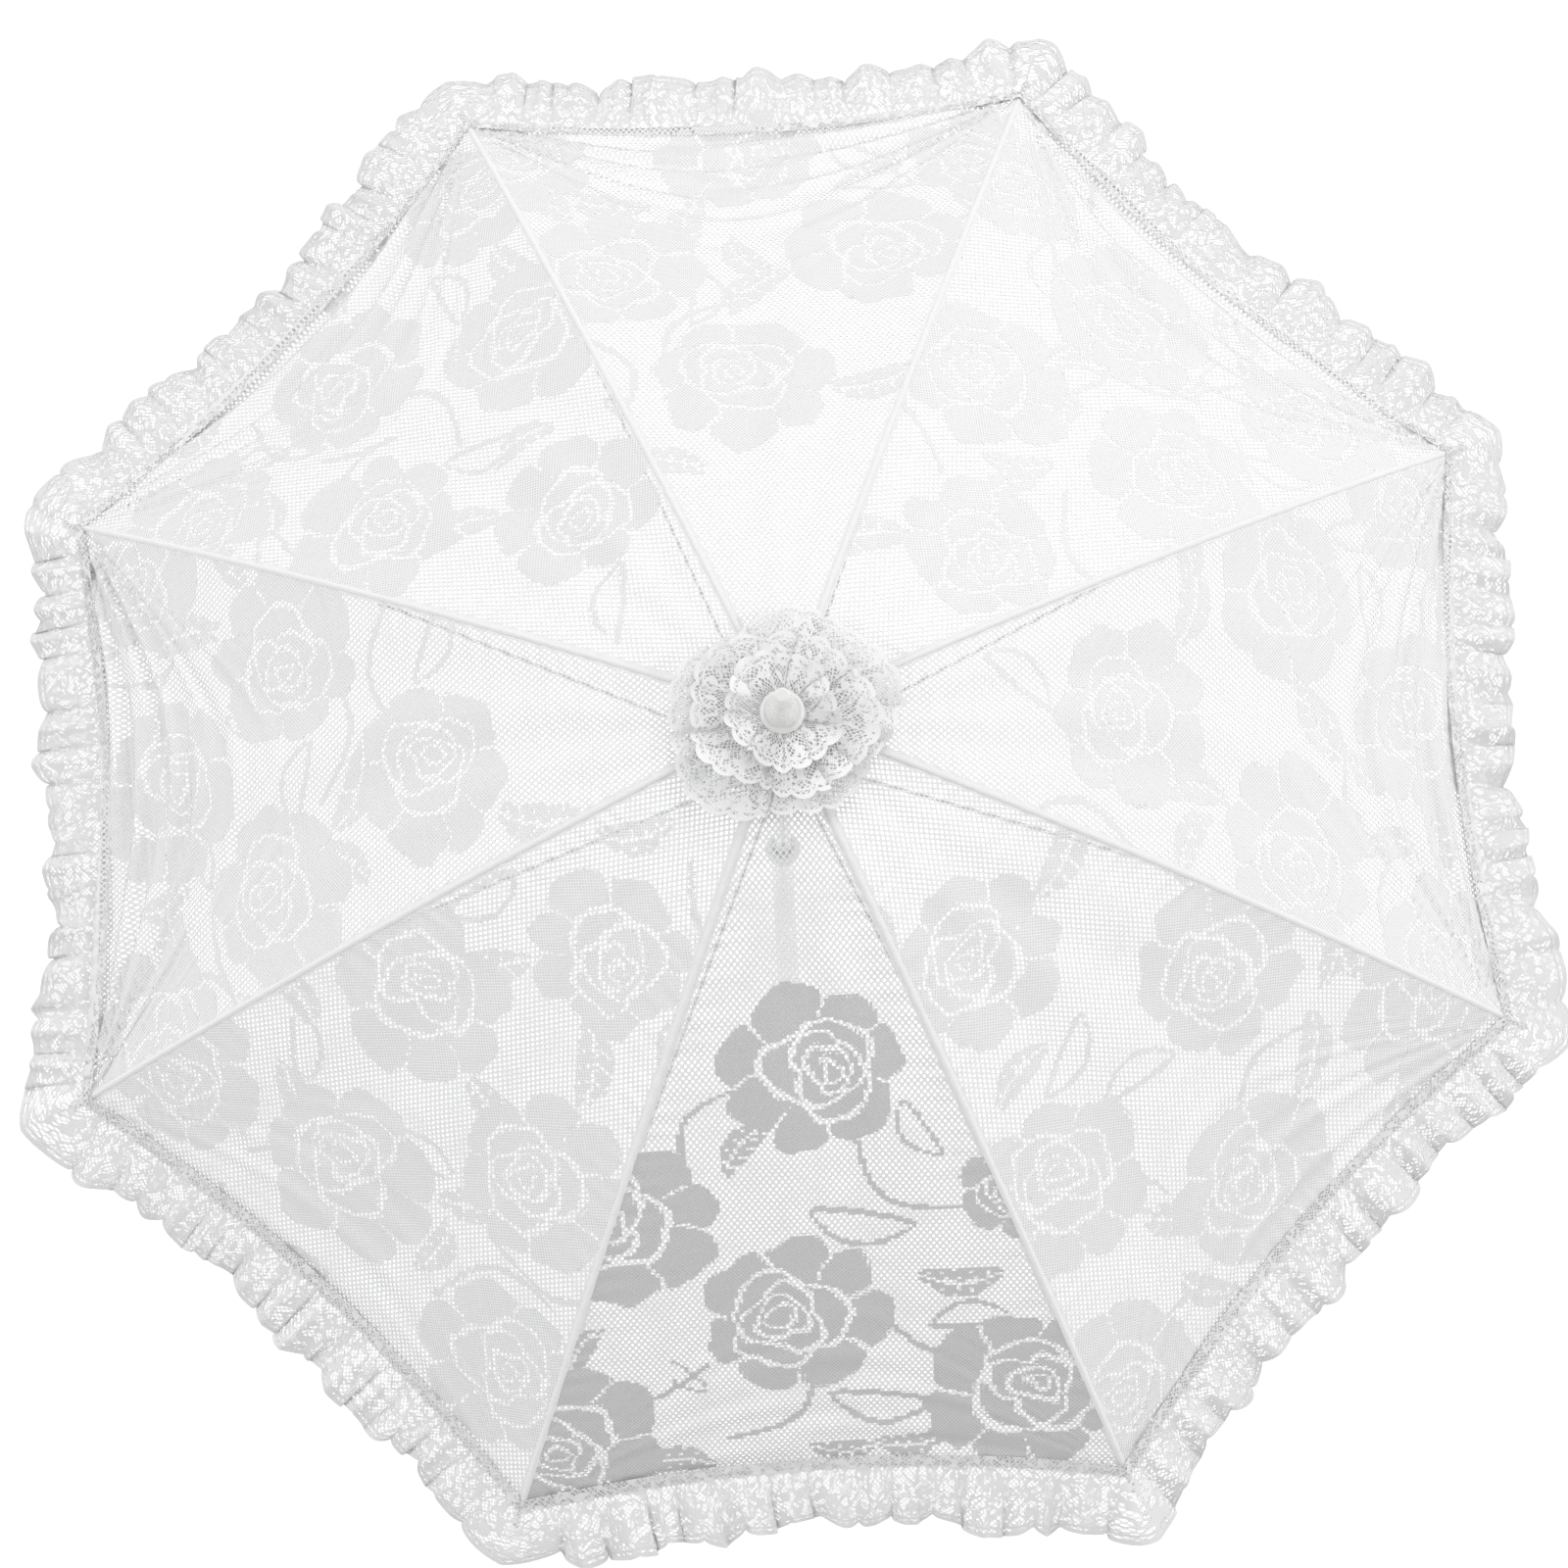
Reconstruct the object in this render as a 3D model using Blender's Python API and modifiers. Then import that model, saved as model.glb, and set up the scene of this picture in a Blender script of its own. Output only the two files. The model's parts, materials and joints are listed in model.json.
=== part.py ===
"""Open lace parasol: eight steel ribs and stretchers on a slim steel shaft, a net cover with a gathered hem frill,
a frill rosette at the top and a white crook handle.

Metres, +Z up. The shaft runs along Z and the origin is on its axis in the middle of the hand grip.
The crook opens towards -Y. Rib 1 lies at -112.5 degrees from +X and the others follow every 45 degrees.
The parasol is open. It folds by sliding the runner down the shaft.
"""

import math

import bmesh
import bpy
from mathutils import Matrix, Vector

# ---- driving dimensions ----
RIBS = 8
FIRST_RIB_DEG = -112.5
CROWN_Z = 0.505  # the ribs' hinges at the crown
HINGE_RADIUS = 0.0115  # of the ribs' and the stretchers' inner hinges
RIB_LENGTH = 0.410  # along the bowed rib
RIB_BEND_RADIUS = 1.0
RIB_START_SLOPE = math.radians(9.9)
RIB_DEPTH = 0.0024
RIB_THICK = 0.0018
EYE_RADIUS = 0.0020
EYE_HOLE = 0.0009
LUG_AT = 0.200  # along the rib
LUG_DROP = 0.0032  # from the rib's centre line to the rivet
LUG_RADIUS = 0.0030
RIVET_HOLE = 0.0012
RIVET_RADIUS = 0.0009
STRETCHER_WIDTH = 0.0036
STRETCHER_THICK = 0.0014
STRETCHER_EYE = 0.0026
TIP_LENGTH = 0.010
TIP_RADIUS = 0.0021
SHAFT_RADIUS = 0.0050
SHAFT_WALL = 0.0006
SHAFT_TOP = CROWN_Z + 0.022
GAP = 0.0003
FLANGE_RADIUS = 0.0140
FLANGE_HALF = 0.0026
SLOT_ROOT = 0.0092
SLEEVE_RADIUS = 0.0091
SLEEVE_LENGTH = 0.030
CATCH_LENGTH = 0.022
CATCH_OUT = 0.0029  # how far a catch stands out of the shaft
CATCH_THICK = 0.0016
COVER_THICK = 0.0012
COVER_OVER_RIB = 0.0024  # from a rib's centre line to the cover's underside
COVER_LIFT = 0.0022  # more than that beside the crown
COVER_HOLE = 0.0085
COVER_END = 0.4085  # along the rib
HEM_RISE = 0.030  # the hem's middle stands back by this share of the rib
COVER_SAG = 0.006
SEAM_GAP = 0.0005
FRILL_WIDTH = 0.032
FRILL_DROP = 0.007
FRILL_WAVE = 0.0045
FRILL_WAVES = 5  # in each eighth
FRILL_THICK = 0.0010
ROSETTE_RADIUS = 0.048
ROSETTE_RISE = 0.012
ROSETTE_WAVE = 0.0035
ROSETTE_WAVES = 9
GRIP_RADIUS = 0.0075
GRIP_TOP = 0.058
CROOK_RADIUS = 0.038  # of the crook's centre line
CROOK_Z = -0.0745  # the centre of the crook's bend
CROOK_END = 0.018  # the straight end of the crook
SOCKET_DEPTH = 0.040
COLLAR_RADIUS = 0.0110
COLLAR_LENGTH = 0.012


def clear_scene():
    for ob in list(bpy.data.objects):
        bpy.data.objects.remove(ob, do_unlink=True)


def new_collection(name):
    col = bpy.data.collections.new(name)
    bpy.context.scene.collection.children.link(col)
    return col


clear_scene()
PARTS = new_collection("lace_parasol")
CUTTERS = new_collection("cutters")


def material(name, colour, roughness, metallic=0.0):
    mat = bpy.data.materials.new(name)
    mat.use_nodes = True
    bsdf = mat.node_tree.nodes["Principled BSDF"]
    bsdf.inputs["Base Color"].default_value = (*colour, 1.0)
    bsdf.inputs["Roughness"].default_value = roughness
    bsdf.inputs["Metallic"].default_value = metallic
    mat.diffuse_color = (*colour, 1.0)
    return mat


NET = material("white_net", (0.93, 0.93, 0.94), 0.9)
FRILL = material("white_lace_frill", (0.90, 0.90, 0.91), 0.9)
SEAM = material("white_rosette_lace", (0.95, 0.95, 0.95), 0.9)
STEEL = material("plated_steel", (0.62, 0.63, 0.65), 0.30, 1.0)
ROD = material("shaft_steel", (0.70, 0.71, 0.73), 0.25, 1.0)
NYLON = material("white_nylon", (0.88, 0.88, 0.88), 0.45)
PLASTIC = material("white_plastic", (0.90, 0.90, 0.90), 0.30)
COLLAR = material("satin_collar", (0.55, 0.56, 0.58), 0.35, 1.0)


def add(ob, mat, parent=None, at=(0, 0, 0), turn=(0, 0, 0), collection=PARTS):
    """Put an object in its collection, place it and give it its material."""
    for col in list(ob.users_collection):
        col.objects.unlink(ob)
    collection.objects.link(ob)
    if mat is not None:
        ob.data.materials.clear()
        ob.data.materials.append(mat)
    ob.location = at
    ob.rotation_euler = turn
    if parent is not None:
        ob.parent = parent
    return ob


def empty(name, parent=None, at=(0, 0, 0), turn=(0, 0, 0)):
    ob = bpy.data.objects.new(name, None)
    ob.empty_display_size = 0.01
    return add(ob, None, parent, at, turn)


def smooth(ob, degrees=35):
    ob.data.shade_smooth()
    ob.data.set_sharp_from_angle(angle=math.radians(degrees))


def outline_curve(name, loops, thickness):
    """A flat plate: closed loops in the curve's XY plane, extruded to the thickness along its Z."""
    cu = bpy.data.curves.new(name, "CURVE")
    cu.dimensions = "2D"
    cu.fill_mode = "BOTH"
    cu.extrude = thickness / 2
    cu.resolution_u = 1
    for loop in loops:
        sp = cu.splines.new("POLY")
        sp.points.add(len(loop) - 1)
        for p, (x, y) in zip(sp.points, loop):
            p.co = (x, y, 0, 1)
        sp.use_cyclic_u = True
    return bpy.data.objects.new(name, cu)


def turned(name, profile, steps, closed=False):
    """A turned piece: a profile of (radius, z) points, run down the outer side, with a Screw modifier about Z."""
    me = bpy.data.meshes.new(name)
    verts = [(r, 0, z) for r, z in profile]
    edges = [(i, i + 1) for i in range(len(verts) - 1)]
    if closed:
        edges.append((len(verts) - 1, 0))
    me.from_pydata(verts, edges, [])
    ob = bpy.data.objects.new(name, me)
    sc = ob.modifiers.new("Screw", "SCREW")
    sc.axis = "Z"
    sc.steps = steps
    sc.render_steps = steps
    sc.use_merge_vertices = True
    sc.merge_threshold = 0.00001
    sc.use_smooth_shade = True
    return ob


def circle(centre, radius, n, start=0.0):
    return [
        (
            centre[0] + radius * math.cos(start + 2 * math.pi * i / n),
            centre[1] + radius * math.sin(start + 2 * math.pi * i / n),
        )
        for i in range(n)
    ]


def cutter(ob):
    ob.hide_render = True
    ob.display_type = "WIRE"
    return ob


def cut(ob, tool, name="Cut"):
    mod = ob.modifiers.new(name, "BOOLEAN")
    mod.operation = "DIFFERENCE"
    mod.object = tool
    mod.solver = "EXACT"
    return mod


# ---- the rib's centre line, in the rib's own plane: X outwards from its hinge, Y up ----
def slope(s):
    return RIB_START_SLOPE + s / RIB_BEND_RADIUS


def on_rib(s, up=0.0):
    """A point at arc length s along the bowed rib, and up from it square to the rib."""
    a = slope(s)
    x = RIB_BEND_RADIUS * (math.sin(a) - math.sin(RIB_START_SLOPE))
    y = -RIB_BEND_RADIUS * (math.cos(RIB_START_SLOPE) - math.cos(a))
    return x + up * math.sin(a), y + up * math.cos(a)


LUG = on_rib(LUG_AT, -LUG_DROP)
ARM = math.hypot(*LUG)  # hinge to rivet, and also rivet to the stretcher's inner eye
OPEN_ANGLE = math.atan2(-LUG[1], LUG[0])
RUNNER_Z = CROWN_Z - 2 * ARM * math.sin(OPEN_ANGLE)


def rib_outline():
    """The rib seen from the side: a bowed strip with a round eye at its hinge and a lug below it for the rivet."""
    half = RIB_DEPTH / 2
    start = math.sqrt(EYE_RADIUS**2 - half**2)
    steps = 13
    top = [
        on_rib(start + (RIB_LENGTH - start) * i / steps, half) for i in range(steps + 1)
    ]
    under = []
    outer = 7
    for i in range(outer):
        under.append(
            on_rib(
                RIB_LENGTH - (RIB_LENGTH - LUG_AT - LUG_RADIUS - 0.004) * i / outer,
                -half,
            )
        )
    under.append(on_rib(LUG_AT + LUG_RADIUS + 0.0015, -half))
    for i in range(7):
        t = math.pi * i / 6
        under.append(
            on_rib(
                LUG_AT + LUG_RADIUS * math.cos(t), -LUG_DROP - LUG_RADIUS * math.sin(t)
            )
        )
    under.append(on_rib(LUG_AT - LUG_RADIUS - 0.0015, -half))
    inner = 6
    for i in range(1, inner + 1):
        under.append(
            on_rib(
                (LUG_AT - LUG_RADIUS - 0.0015)
                * (1 - i / inner)
                * (1 - start / LUG_AT)
                + start,
                -half,
            )
        )
    eye = []
    side = math.asin(half / EYE_RADIUS)
    n = 7
    for i in range(1, n):
        t = -RIB_START_SLOPE - side - (2 * math.pi - 2 * side) * i / n
        eye.append((EYE_RADIUS * math.cos(t), EYE_RADIUS * math.sin(t)))
    return [top + under + eye, circle((0, 0), EYE_HOLE, 8), circle(LUG, RIVET_HOLE, 10)]


def stretcher_outline():
    """The stretcher seen from the side, from its rivet at the origin to its inner eye: a flat strip with round ends."""
    end = (-ARM * math.cos(OPEN_ANGLE), -ARM * math.sin(OPEN_ANGLE))
    along = math.atan2(end[1], end[0])
    half = STRETCHER_WIDTH / 2
    loop = []
    for centre, radius, facing in (
        ((0, 0), STRETCHER_EYE, along + math.pi),
        (end, EYE_RADIUS, along),
    ):
        side = math.asin(min(1.0, half / radius))
        n = 6
        for i in range(n + 1):
            t = facing - (math.pi - side) + 2 * (math.pi - side) * i / n
            loop.append(
                (centre[0] + radius * math.cos(t), centre[1] + radius * math.sin(t))
            )
    return [loop, circle((0, 0), RIVET_HOLE, 8), circle(end, EYE_HOLE, 6)]


# ---- the cover's surface ----
def cover_line(s, up):
    """A point (radius, height) of the cover over a rib. It rises beside the crown, where it lies over the flange."""
    lift = COVER_LIFT * math.exp(-((max(s, 0.0) / 0.016) ** 2))
    if s < 0:
        x, y = on_rib(0.0, COVER_OVER_RIB + lift + up)
        return HINGE_RADIUS + x + s, CROWN_Z + y
    x, y = on_rib(s, COVER_OVER_RIB + lift + up)
    return HINGE_RADIUS + x, CROWN_Z + y


HALF_GORE = math.pi / RIBS


def cover_point(u, v, up=0.0):
    """A point of the cover in the frame of one rib, where X is outwards and the axis is the shaft's.
    u runs from -0.5 to 0.5 between the middles of the two gores beside the rib, v from 0 at the top to 1 at the hem.
    Each level is a straight line from rib to rib, drawn in a little towards the inside, and the hem's middle stands back."""
    first = -(HINGE_RADIUS - COVER_HOLE)
    bulge = 4 * abs(u) * (1 - abs(u))
    end = COVER_END * (1 - HEM_RISE * bulge)
    s = first + (end - first) * v
    r, z = cover_line(s, up)
    share = abs(u)
    turn = 2 * HALF_GORE * (1 if u > 0 else -1)
    x = r * (1 - share) + r * math.cos(turn) * share
    y = r * math.sin(turn) * share
    depth = COVER_SAG * bulge * math.sin(math.pi * min(max(s, 0) / COVER_END, 1) * 0.5) ** 2
    a = slope(max(s, 0))
    size = math.hypot(x, y) or 1.0
    x -= depth * math.sin(a) * x / size
    y -= depth * math.sin(a) * y / size
    return Vector((x, y, z - depth * math.cos(a)))


def hem_out(u):
    """The direction, in plan, that the frill leaves the hem: square to it, and fanned round the corner at the rib."""
    a, b = cover_point(u - 0.02, 1.0), cover_point(u + 0.02, 1.0)
    d = Vector((b.x - a.x, b.y - a.y))
    n = Vector((d.y, -d.x))
    return n.normalized()


def sheet_object(name, rows, thickness):
    """A grid of points, given row by row, made into a closed shell with Solidify."""
    bm = bmesh.new()
    grid = [[bm.verts.new(p) for p in row] for row in rows]
    for a, b in zip(grid, grid[1:]):
        for i in range(len(a) - 1):
            bm.faces.new((a[i], a[i + 1], b[i + 1], b[i]))
    bmesh.ops.recalc_face_normals(bm, faces=bm.faces)
    up = sum((f.normal.z for f in bm.faces), 0.0)
    if up < 0:
        bmesh.ops.reverse_faces(bm, faces=bm.faces)
    me = bpy.data.meshes.new(name)
    bm.to_mesh(me)
    bm.free()
    me.shade_smooth()
    ob = bpy.data.objects.new(name, me)
    mod = ob.modifiers.new("Solidify", "SOLIDIFY")
    mod.thickness = thickness
    mod.offset = 1.0
    return ob


COVER_COLUMNS = 6
COVER_ROWS = 11


def cover_rows(pivot):
    rows = []
    for j in range(COVER_ROWS + 1):
        v = (j / COVER_ROWS) ** 1.35
        row = []
        for i in range(COVER_COLUMNS + 1):
            u = -0.5 + i / COVER_COLUMNS
            p = cover_point(u, v)
            # the edge stands back from the middle of the gore by half the seam gap
            edge = max(0.0, abs(u) * 2 - 0.999) * 1000
            if edge:
                side = 1 if u > 0 else -1
                back = Vector(
                    (math.sin(HALF_GORE), -side * math.cos(HALF_GORE), 0)
                ) * (SEAM_GAP)
                p = p + back
            row.append(p - pivot)
        rows.append(row)
    return rows


def frill_rows(pivot):
    rows = []
    n = 4 * FRILL_WAVES
    for j in range(3):
        w = j / 2
        row = []
        for i in range(n + 1):
            u = -0.5 + i / n
            base = cover_point(u, 1.0, 0.0)
            out = hem_out(max(-0.5, min(0.5, u))) if abs(u) > 0.05 else Vector(
                (1.0, 0.0)
            ).lerp(hem_out(math.copysign(0.06, u or 1)), abs(u) / 0.05)
            out.normalize()
            phase = 2 * math.pi * (u * FRILL_WAVES)
            wave = FRILL_WAVE * w * math.cos(phase)
            reach = 0.0010 + FRILL_WIDTH * w * (1 + 0.06 * math.cos(phase))
            p = base + Vector((out.x * reach, out.y * reach, wave - FRILL_DROP * w * w))
            if abs(u) > 0.4999:
                side = 1 if u > 0 else -1
                mid = Vector((math.cos(HALF_GORE), side * math.sin(HALF_GORE), 0))
                flat = Vector((p.x, p.y, 0)).dot(mid)
                p = Vector((mid.x * flat, mid.y * flat, p.z)) + Vector(
                    (math.sin(HALF_GORE), -side * math.cos(HALF_GORE), 0)
                ) * (SEAM_GAP)
            row.append(p - pivot)
        rows.append(row)
    return rows


# ---- the shaft and what is fixed to it ----
def make_shaft():
    inner = SHAFT_RADIUS - SHAFT_WALL
    low = GRIP_TOP - SOCKET_DEPTH + 0.001
    ob = turned(
        "shaft_tube",
        [
            (SHAFT_RADIUS, SHAFT_TOP),
            (SHAFT_RADIUS, low),
            (inner, low),
            (inner, SHAFT_TOP),
        ],
        18,
        closed=True,
    )
    add(ob, ROD)
    for i, z in enumerate(CATCHES):
        bm = bmesh.new()
        bmesh.ops.create_cube(bm, size=1.0)
        bmesh.ops.scale(
            bm,
            vec=(CATCH_THICK + 2 * GAP, 0.006, CATCH_LENGTH + 2 * GAP),
            verts=bm.verts,
        )
        me = bpy.data.meshes.new(f"catch_slot_{i}")
        bm.to_mesh(me)
        bm.free()
        slot = cutter(bpy.data.objects.new(f"catch_slot_{i}", me))
        add(slot, None, None, (0, -SHAFT_RADIUS, z), (0, 0, 0), CUTTERS)
        cut(ob, slot, f"Slot {i}")
    return ob


def make_catch(name, z):
    """A spring catch: a thin plate in a slot of the shaft, sloping above and square below or the other way round."""
    half = CATCH_LENGTH / 2
    out = SHAFT_RADIUS + CATCH_OUT
    back = 0.0012
    loop = [
        (-out, half - 0.0004),
        (-out + 0.0008, half),
        (-back, half),
        (-back, -half),
        (-SHAFT_RADIUS + 0.0004, -half),
    ]
    ob = outline_curve(name, [[(y, zz) for y, zz in loop]], CATCH_THICK)
    # the curve's X lies along world Y and its Y along Z
    return add(ob, STEEL, None, (0, 0, z), (math.pi / 2, 0, math.pi / 2))


def slot_star(name, radius_in, radius_out, width, height, offset):
    """Eight radial bars that cut the hinge slots, each set off sideways by the offset."""
    bm = bmesh.new()
    for k in range(RIBS):
        made = bmesh.ops.create_cube(bm, size=1.0)["verts"]
        bmesh.ops.scale(bm, vec=(radius_out - radius_in, width, height), verts=made)
        bmesh.ops.translate(
            bm, vec=((radius_out + radius_in) / 2, offset, 0), verts=made
        )
        a = math.radians(FIRST_RIB_DEG + 360 / RIBS * k)
        bmesh.ops.rotate(
            bm,
            cent=(0, 0, 0),
            matrix=Matrix.Rotation(a, 3, "Z"),
            verts=made,
        )
    me = bpy.data.meshes.new(name)
    bm.to_mesh(me)
    bm.free()
    return cutter(bpy.data.objects.new(name, me))


def make_crown():
    bore = SHAFT_RADIUS + GAP
    lip = 0.0008
    ob = turned(
        "crown",
        [
            (bore, FLANGE_HALF),
            (FLANGE_RADIUS - 0.0006, FLANGE_HALF),
            (FLANGE_RADIUS, FLANGE_HALF - 0.0006),
            (FLANGE_RADIUS, lip),
            (HINGE_RADIUS - lip, lip),
            (HINGE_RADIUS - lip, -lip),
            (FLANGE_RADIUS, -lip),
            (FLANGE_RADIUS, -FLANGE_HALF + 0.0006),
            (FLANGE_RADIUS - 0.0006, -FLANGE_HALF),
            (SLOT_ROOT, -FLANGE_HALF),
            (0.0080, -0.0110),
            (bore, -0.0110),
        ],
        20,
        closed=True,
    )
    add(ob, NYLON, None, (0, 0, CROWN_Z))
    star = slot_star(
        "crown_slots", SLOT_ROOT, 0.016, RIB_THICK + 2 * GAP, 0.0068, 0.0
    )
    add(star, None, None, (0, 0, CROWN_Z), (0, 0, 0), CUTTERS)
    cut(ob, star)
    # the wire ring that holds the ribs' eyes
    bpy.ops.mesh.primitive_torus_add(
        major_radius=HINGE_RADIUS,
        minor_radius=0.0005,
        major_segments=24,
        minor_segments=6,
        location=(0, 0, 0),
    )
    ring = bpy.context.active_object
    ring.name = "crown_ring"
    ring.data.name = "crown_ring"
    smooth(ring)
    add(ring, STEEL, None, (0, 0, CROWN_Z))


def make_runner():
    """The runner slides on the shaft. Its flange is slotted for the stretchers' eyes, and a groove in its bore passes over the catches."""
    bore = SHAFT_RADIUS + GAP
    top = 0.0070
    low = -SLEEVE_LENGTH
    ob = turned(
        "runner",
        [
            (bore, top),
            (0.0082, top),
            (0.0088, top - 0.0006),
            (0.0088, FLANGE_HALF + 0.0006),
            (SLEEVE_RADIUS, FLANGE_HALF),
            (FLANGE_RADIUS - 0.0006, FLANGE_HALF),
            (FLANGE_RADIUS, FLANGE_HALF - 0.0006),
            (FLANGE_RADIUS, -FLANGE_HALF + 0.0006),
            (FLANGE_RADIUS - 0.0006, -FLANGE_HALF),
            (SLEEVE_RADIUS, -FLANGE_HALF),
            (SLEEVE_RADIUS, low + 0.0008),
            (SLEEVE_RADIUS - 0.0008, low),
            (bore, low),
        ],
        20,
        closed=True,
    )
    add(ob, NYLON, None, (0, 0, RUNNER_Z))
    star = slot_star(
        "runner_slots",
        SLOT_ROOT,
        0.016,
        STRETCHER_THICK + 2 * GAP,
        0.0068,
        STRETCHER_SIDE,
    )
    add(star, None, None, (0, 0, RUNNER_Z), (0, 0, 0), CUTTERS)
    cut(ob, star)
    bm = bmesh.new()
    bmesh.ops.create_cube(bm, size=1.0)
    bmesh.ops.scale(bm, vec=(CATCH_THICK + 4 * GAP, 0.0045, 0.060), verts=bm.verts)
    me = bpy.data.meshes.new("runner_groove")
    bm.to_mesh(me)
    bm.free()
    groove = cutter(bpy.data.objects.new("runner_groove", me))
    add(
        groove,
        None,
        None,
        (0, -(SHAFT_RADIUS + CATCH_OUT + GAP) + 0.00225, RUNNER_Z - 0.01),
        (0, 0, 0),
        CUTTERS,
    )
    cut(ob, groove, "Groove")
    return ob


STRETCHER_SIDE = RIB_THICK / 2 + GAP + STRETCHER_THICK / 2
CATCHES = (
    RUNNER_Z - SLEEVE_LENGTH - GAP - CATCH_LENGTH / 2,
    GRIP_TOP + COLLAR_LENGTH + 0.026,
)


def make_top():
    """Above the cover: the rosette, the cap that holds it down and the ferrule over the shaft's end."""
    seat = cover_point(0.0, 0.0, COVER_THICK).z + GAP
    steps = 4 * ROSETTE_WAVES
    rows = []
    radii = (0.0066, 0.0110, 0.0210, 0.0340, ROSETTE_RADIUS)
    for j, r in enumerate(radii):
        w = max(0.0, (r - 0.0110) / (ROSETTE_RADIUS - 0.0110))
        row = []
        for i in range(steps):
            a = 2 * math.pi * i / steps
            reach = r * (1 + 0.05 * w * math.cos(ROSETTE_WAVES * a + 1.1))
            under = top_height(reach)
            z = (
                max(seat, under + 0.0008)
                + ROSETTE_RISE * w**1.3
                + ROSETTE_WAVE * w * math.cos(ROSETTE_WAVES * a)
            )
            if j < 2:
                z = seat
            row.append(Vector((reach * math.cos(a), reach * math.sin(a), z)))
        rows.append(row)
    bm = bmesh.new()
    grid = [[bm.verts.new(p) for p in row] for row in rows]
    for a, b in zip(grid, grid[1:]):
        for i in range(steps):
            k = (i + 1) % steps
            bm.faces.new((a[i], b[i], b[k], a[k]))
    me = bpy.data.meshes.new("rosette")
    bm.to_mesh(me)
    bm.free()
    me.shade_smooth()
    ob = bpy.data.objects.new("rosette", me)
    mod = ob.modifiers.new("Solidify", "SOLIDIFY")
    mod.thickness = 0.0010
    mod.offset = 1.0
    add(ob, SEAM)
    base = seat + 0.0010 + GAP
    bore = SHAFT_RADIUS + GAP
    cap = turned(
        "top_cap",
        [
            (bore, base + 0.0024),
            (0.0088, base + 0.0024),
            (0.0102, base + 0.0014),
            (0.0104, base),
            (bore, base),
        ],
        18,
        closed=True,
    )
    add(cap, NYLON)
    foot = base + 0.0024 + GAP
    tip = foot + 0.036
    roof = SHAFT_TOP + GAP
    ferrule = turned(
        "ferrule",
        [
            (0.0, tip),
            (0.0026, tip),
            (0.0036, tip - 0.0010),
            (0.0046, tip - 0.0150),
            (0.0060, foot + 0.0130),
            (0.0070, foot + 0.0060),
            (0.0076, foot + 0.0008),
            (0.0070, foot),
            (bore, foot),
            (bore, roof),
            (0.0, roof),
        ],
        18,
    )
    add(ferrule, PLASTIC)


def top_height(r):
    """The cover's upper surface over a rib, at a radius near the top."""
    lo, hi = -0.003, 0.08
    for _ in range(40):
        mid = (lo + hi) / 2
        if cover_line(mid, COVER_THICK)[0] < r:
            lo = mid
        else:
            hi = mid
    return cover_line((lo + hi) / 2, COVER_THICK)[1]


def make_handle():
    """The crook: a tapered round bar that bends through a half turn towards -Y, with a socket for the shaft."""
    path = [(0.0, GRIP_TOP, 0.86), (0.0, GRIP_TOP - 0.006, 0.94)]
    for i in range(1, 5):
        path.append((0.0, GRIP_TOP - 0.006 - (GRIP_TOP - 0.006 - CROOK_Z) * i / 4, 1.0))
    for i in range(1, 15):
        t = math.pi * i / 14
        path.append(
            (
                -CROOK_RADIUS + CROOK_RADIUS * math.cos(t),
                CROOK_Z - CROOK_RADIUS * math.sin(t),
                1.0,
            )
        )
    path.append((-2 * CROOK_RADIUS, CROOK_Z + CROOK_END, 1.0))
    cu = bpy.data.curves.new("crook", "CURVE")
    cu.dimensions = "3D"
    cu.bevel_depth = GRIP_RADIUS
    cu.bevel_resolution = 4
    cu.use_fill_caps = True
    sp = cu.splines.new("POLY")
    sp.points.add(len(path) - 1)
    for p, (y, z, size) in zip(sp.points, path):
        p.co = (0, y, z, 1)
        p.radius = size
    bar = bpy.data.objects.new("crook", cu)
    PARTS.objects.link(bar)
    bpy.context.view_layer.update()
    me = bpy.data.meshes.new_from_object(
        bar.evaluated_get(bpy.context.evaluated_depsgraph_get())
    )
    world = bar.matrix_world.copy()
    bpy.data.objects.remove(bar, do_unlink=True)
    bm = bmesh.new()
    bm.from_mesh(me)
    bmesh.ops.remove_doubles(bm, verts=bm.verts, dist=0.00001)
    bmesh.ops.recalc_face_normals(bm, faces=bm.faces)
    bm.to_mesh(me)
    bm.free()
    ob = bpy.data.objects.new("crook_handle", me)
    ob.matrix_world = world
    add(ob, PLASTIC)
    smooth(ob, 50)
    bpy.ops.mesh.primitive_cylinder_add(
        vertices=18, radius=SHAFT_RADIUS + GAP, depth=SOCKET_DEPTH + 0.01
    )
    socket = cutter(bpy.context.active_object)
    socket.name = "socket"
    add(
        socket,
        None,
        None,
        (0, 0, GRIP_TOP - SOCKET_DEPTH + (SOCKET_DEPTH + 0.01) / 2),
        (0, 0, 0),
        CUTTERS,
    )
    cut(ob, socket)
    # the cap on the crook's end
    z = CROOK_Z + CROOK_END + GAP
    cap = turned(
        "handle_end_cap",
        [
            (0.0, z + 0.0050),
            (0.0030, z + 0.0047),
            (0.0060, z + 0.0034),
            (0.0079, z + 0.0014),
            (0.0082, z + 0.0004),
            (0.0080, z),
            (0.0, z),
        ],
        14,
    )
    add(cap, PLASTIC, None, (0, -2 * CROOK_RADIUS, 0))
    bore = SHAFT_RADIUS + GAP
    z = GRIP_TOP + GAP
    collar = turned(
        "handle_collar",
        [
            (bore, z + COLLAR_LENGTH),
            (0.0072, z + COLLAR_LENGTH),
            (0.0082, z + COLLAR_LENGTH - 0.0010),
            (0.0092, z + 0.0060),
            (COLLAR_RADIUS, z + 0.0030),
            (COLLAR_RADIUS, z + 0.0010),
            (0.0102, z),
            (bore, z),
        ],
        18,
        closed=True,
    )
    add(collar, COLLAR)


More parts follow.
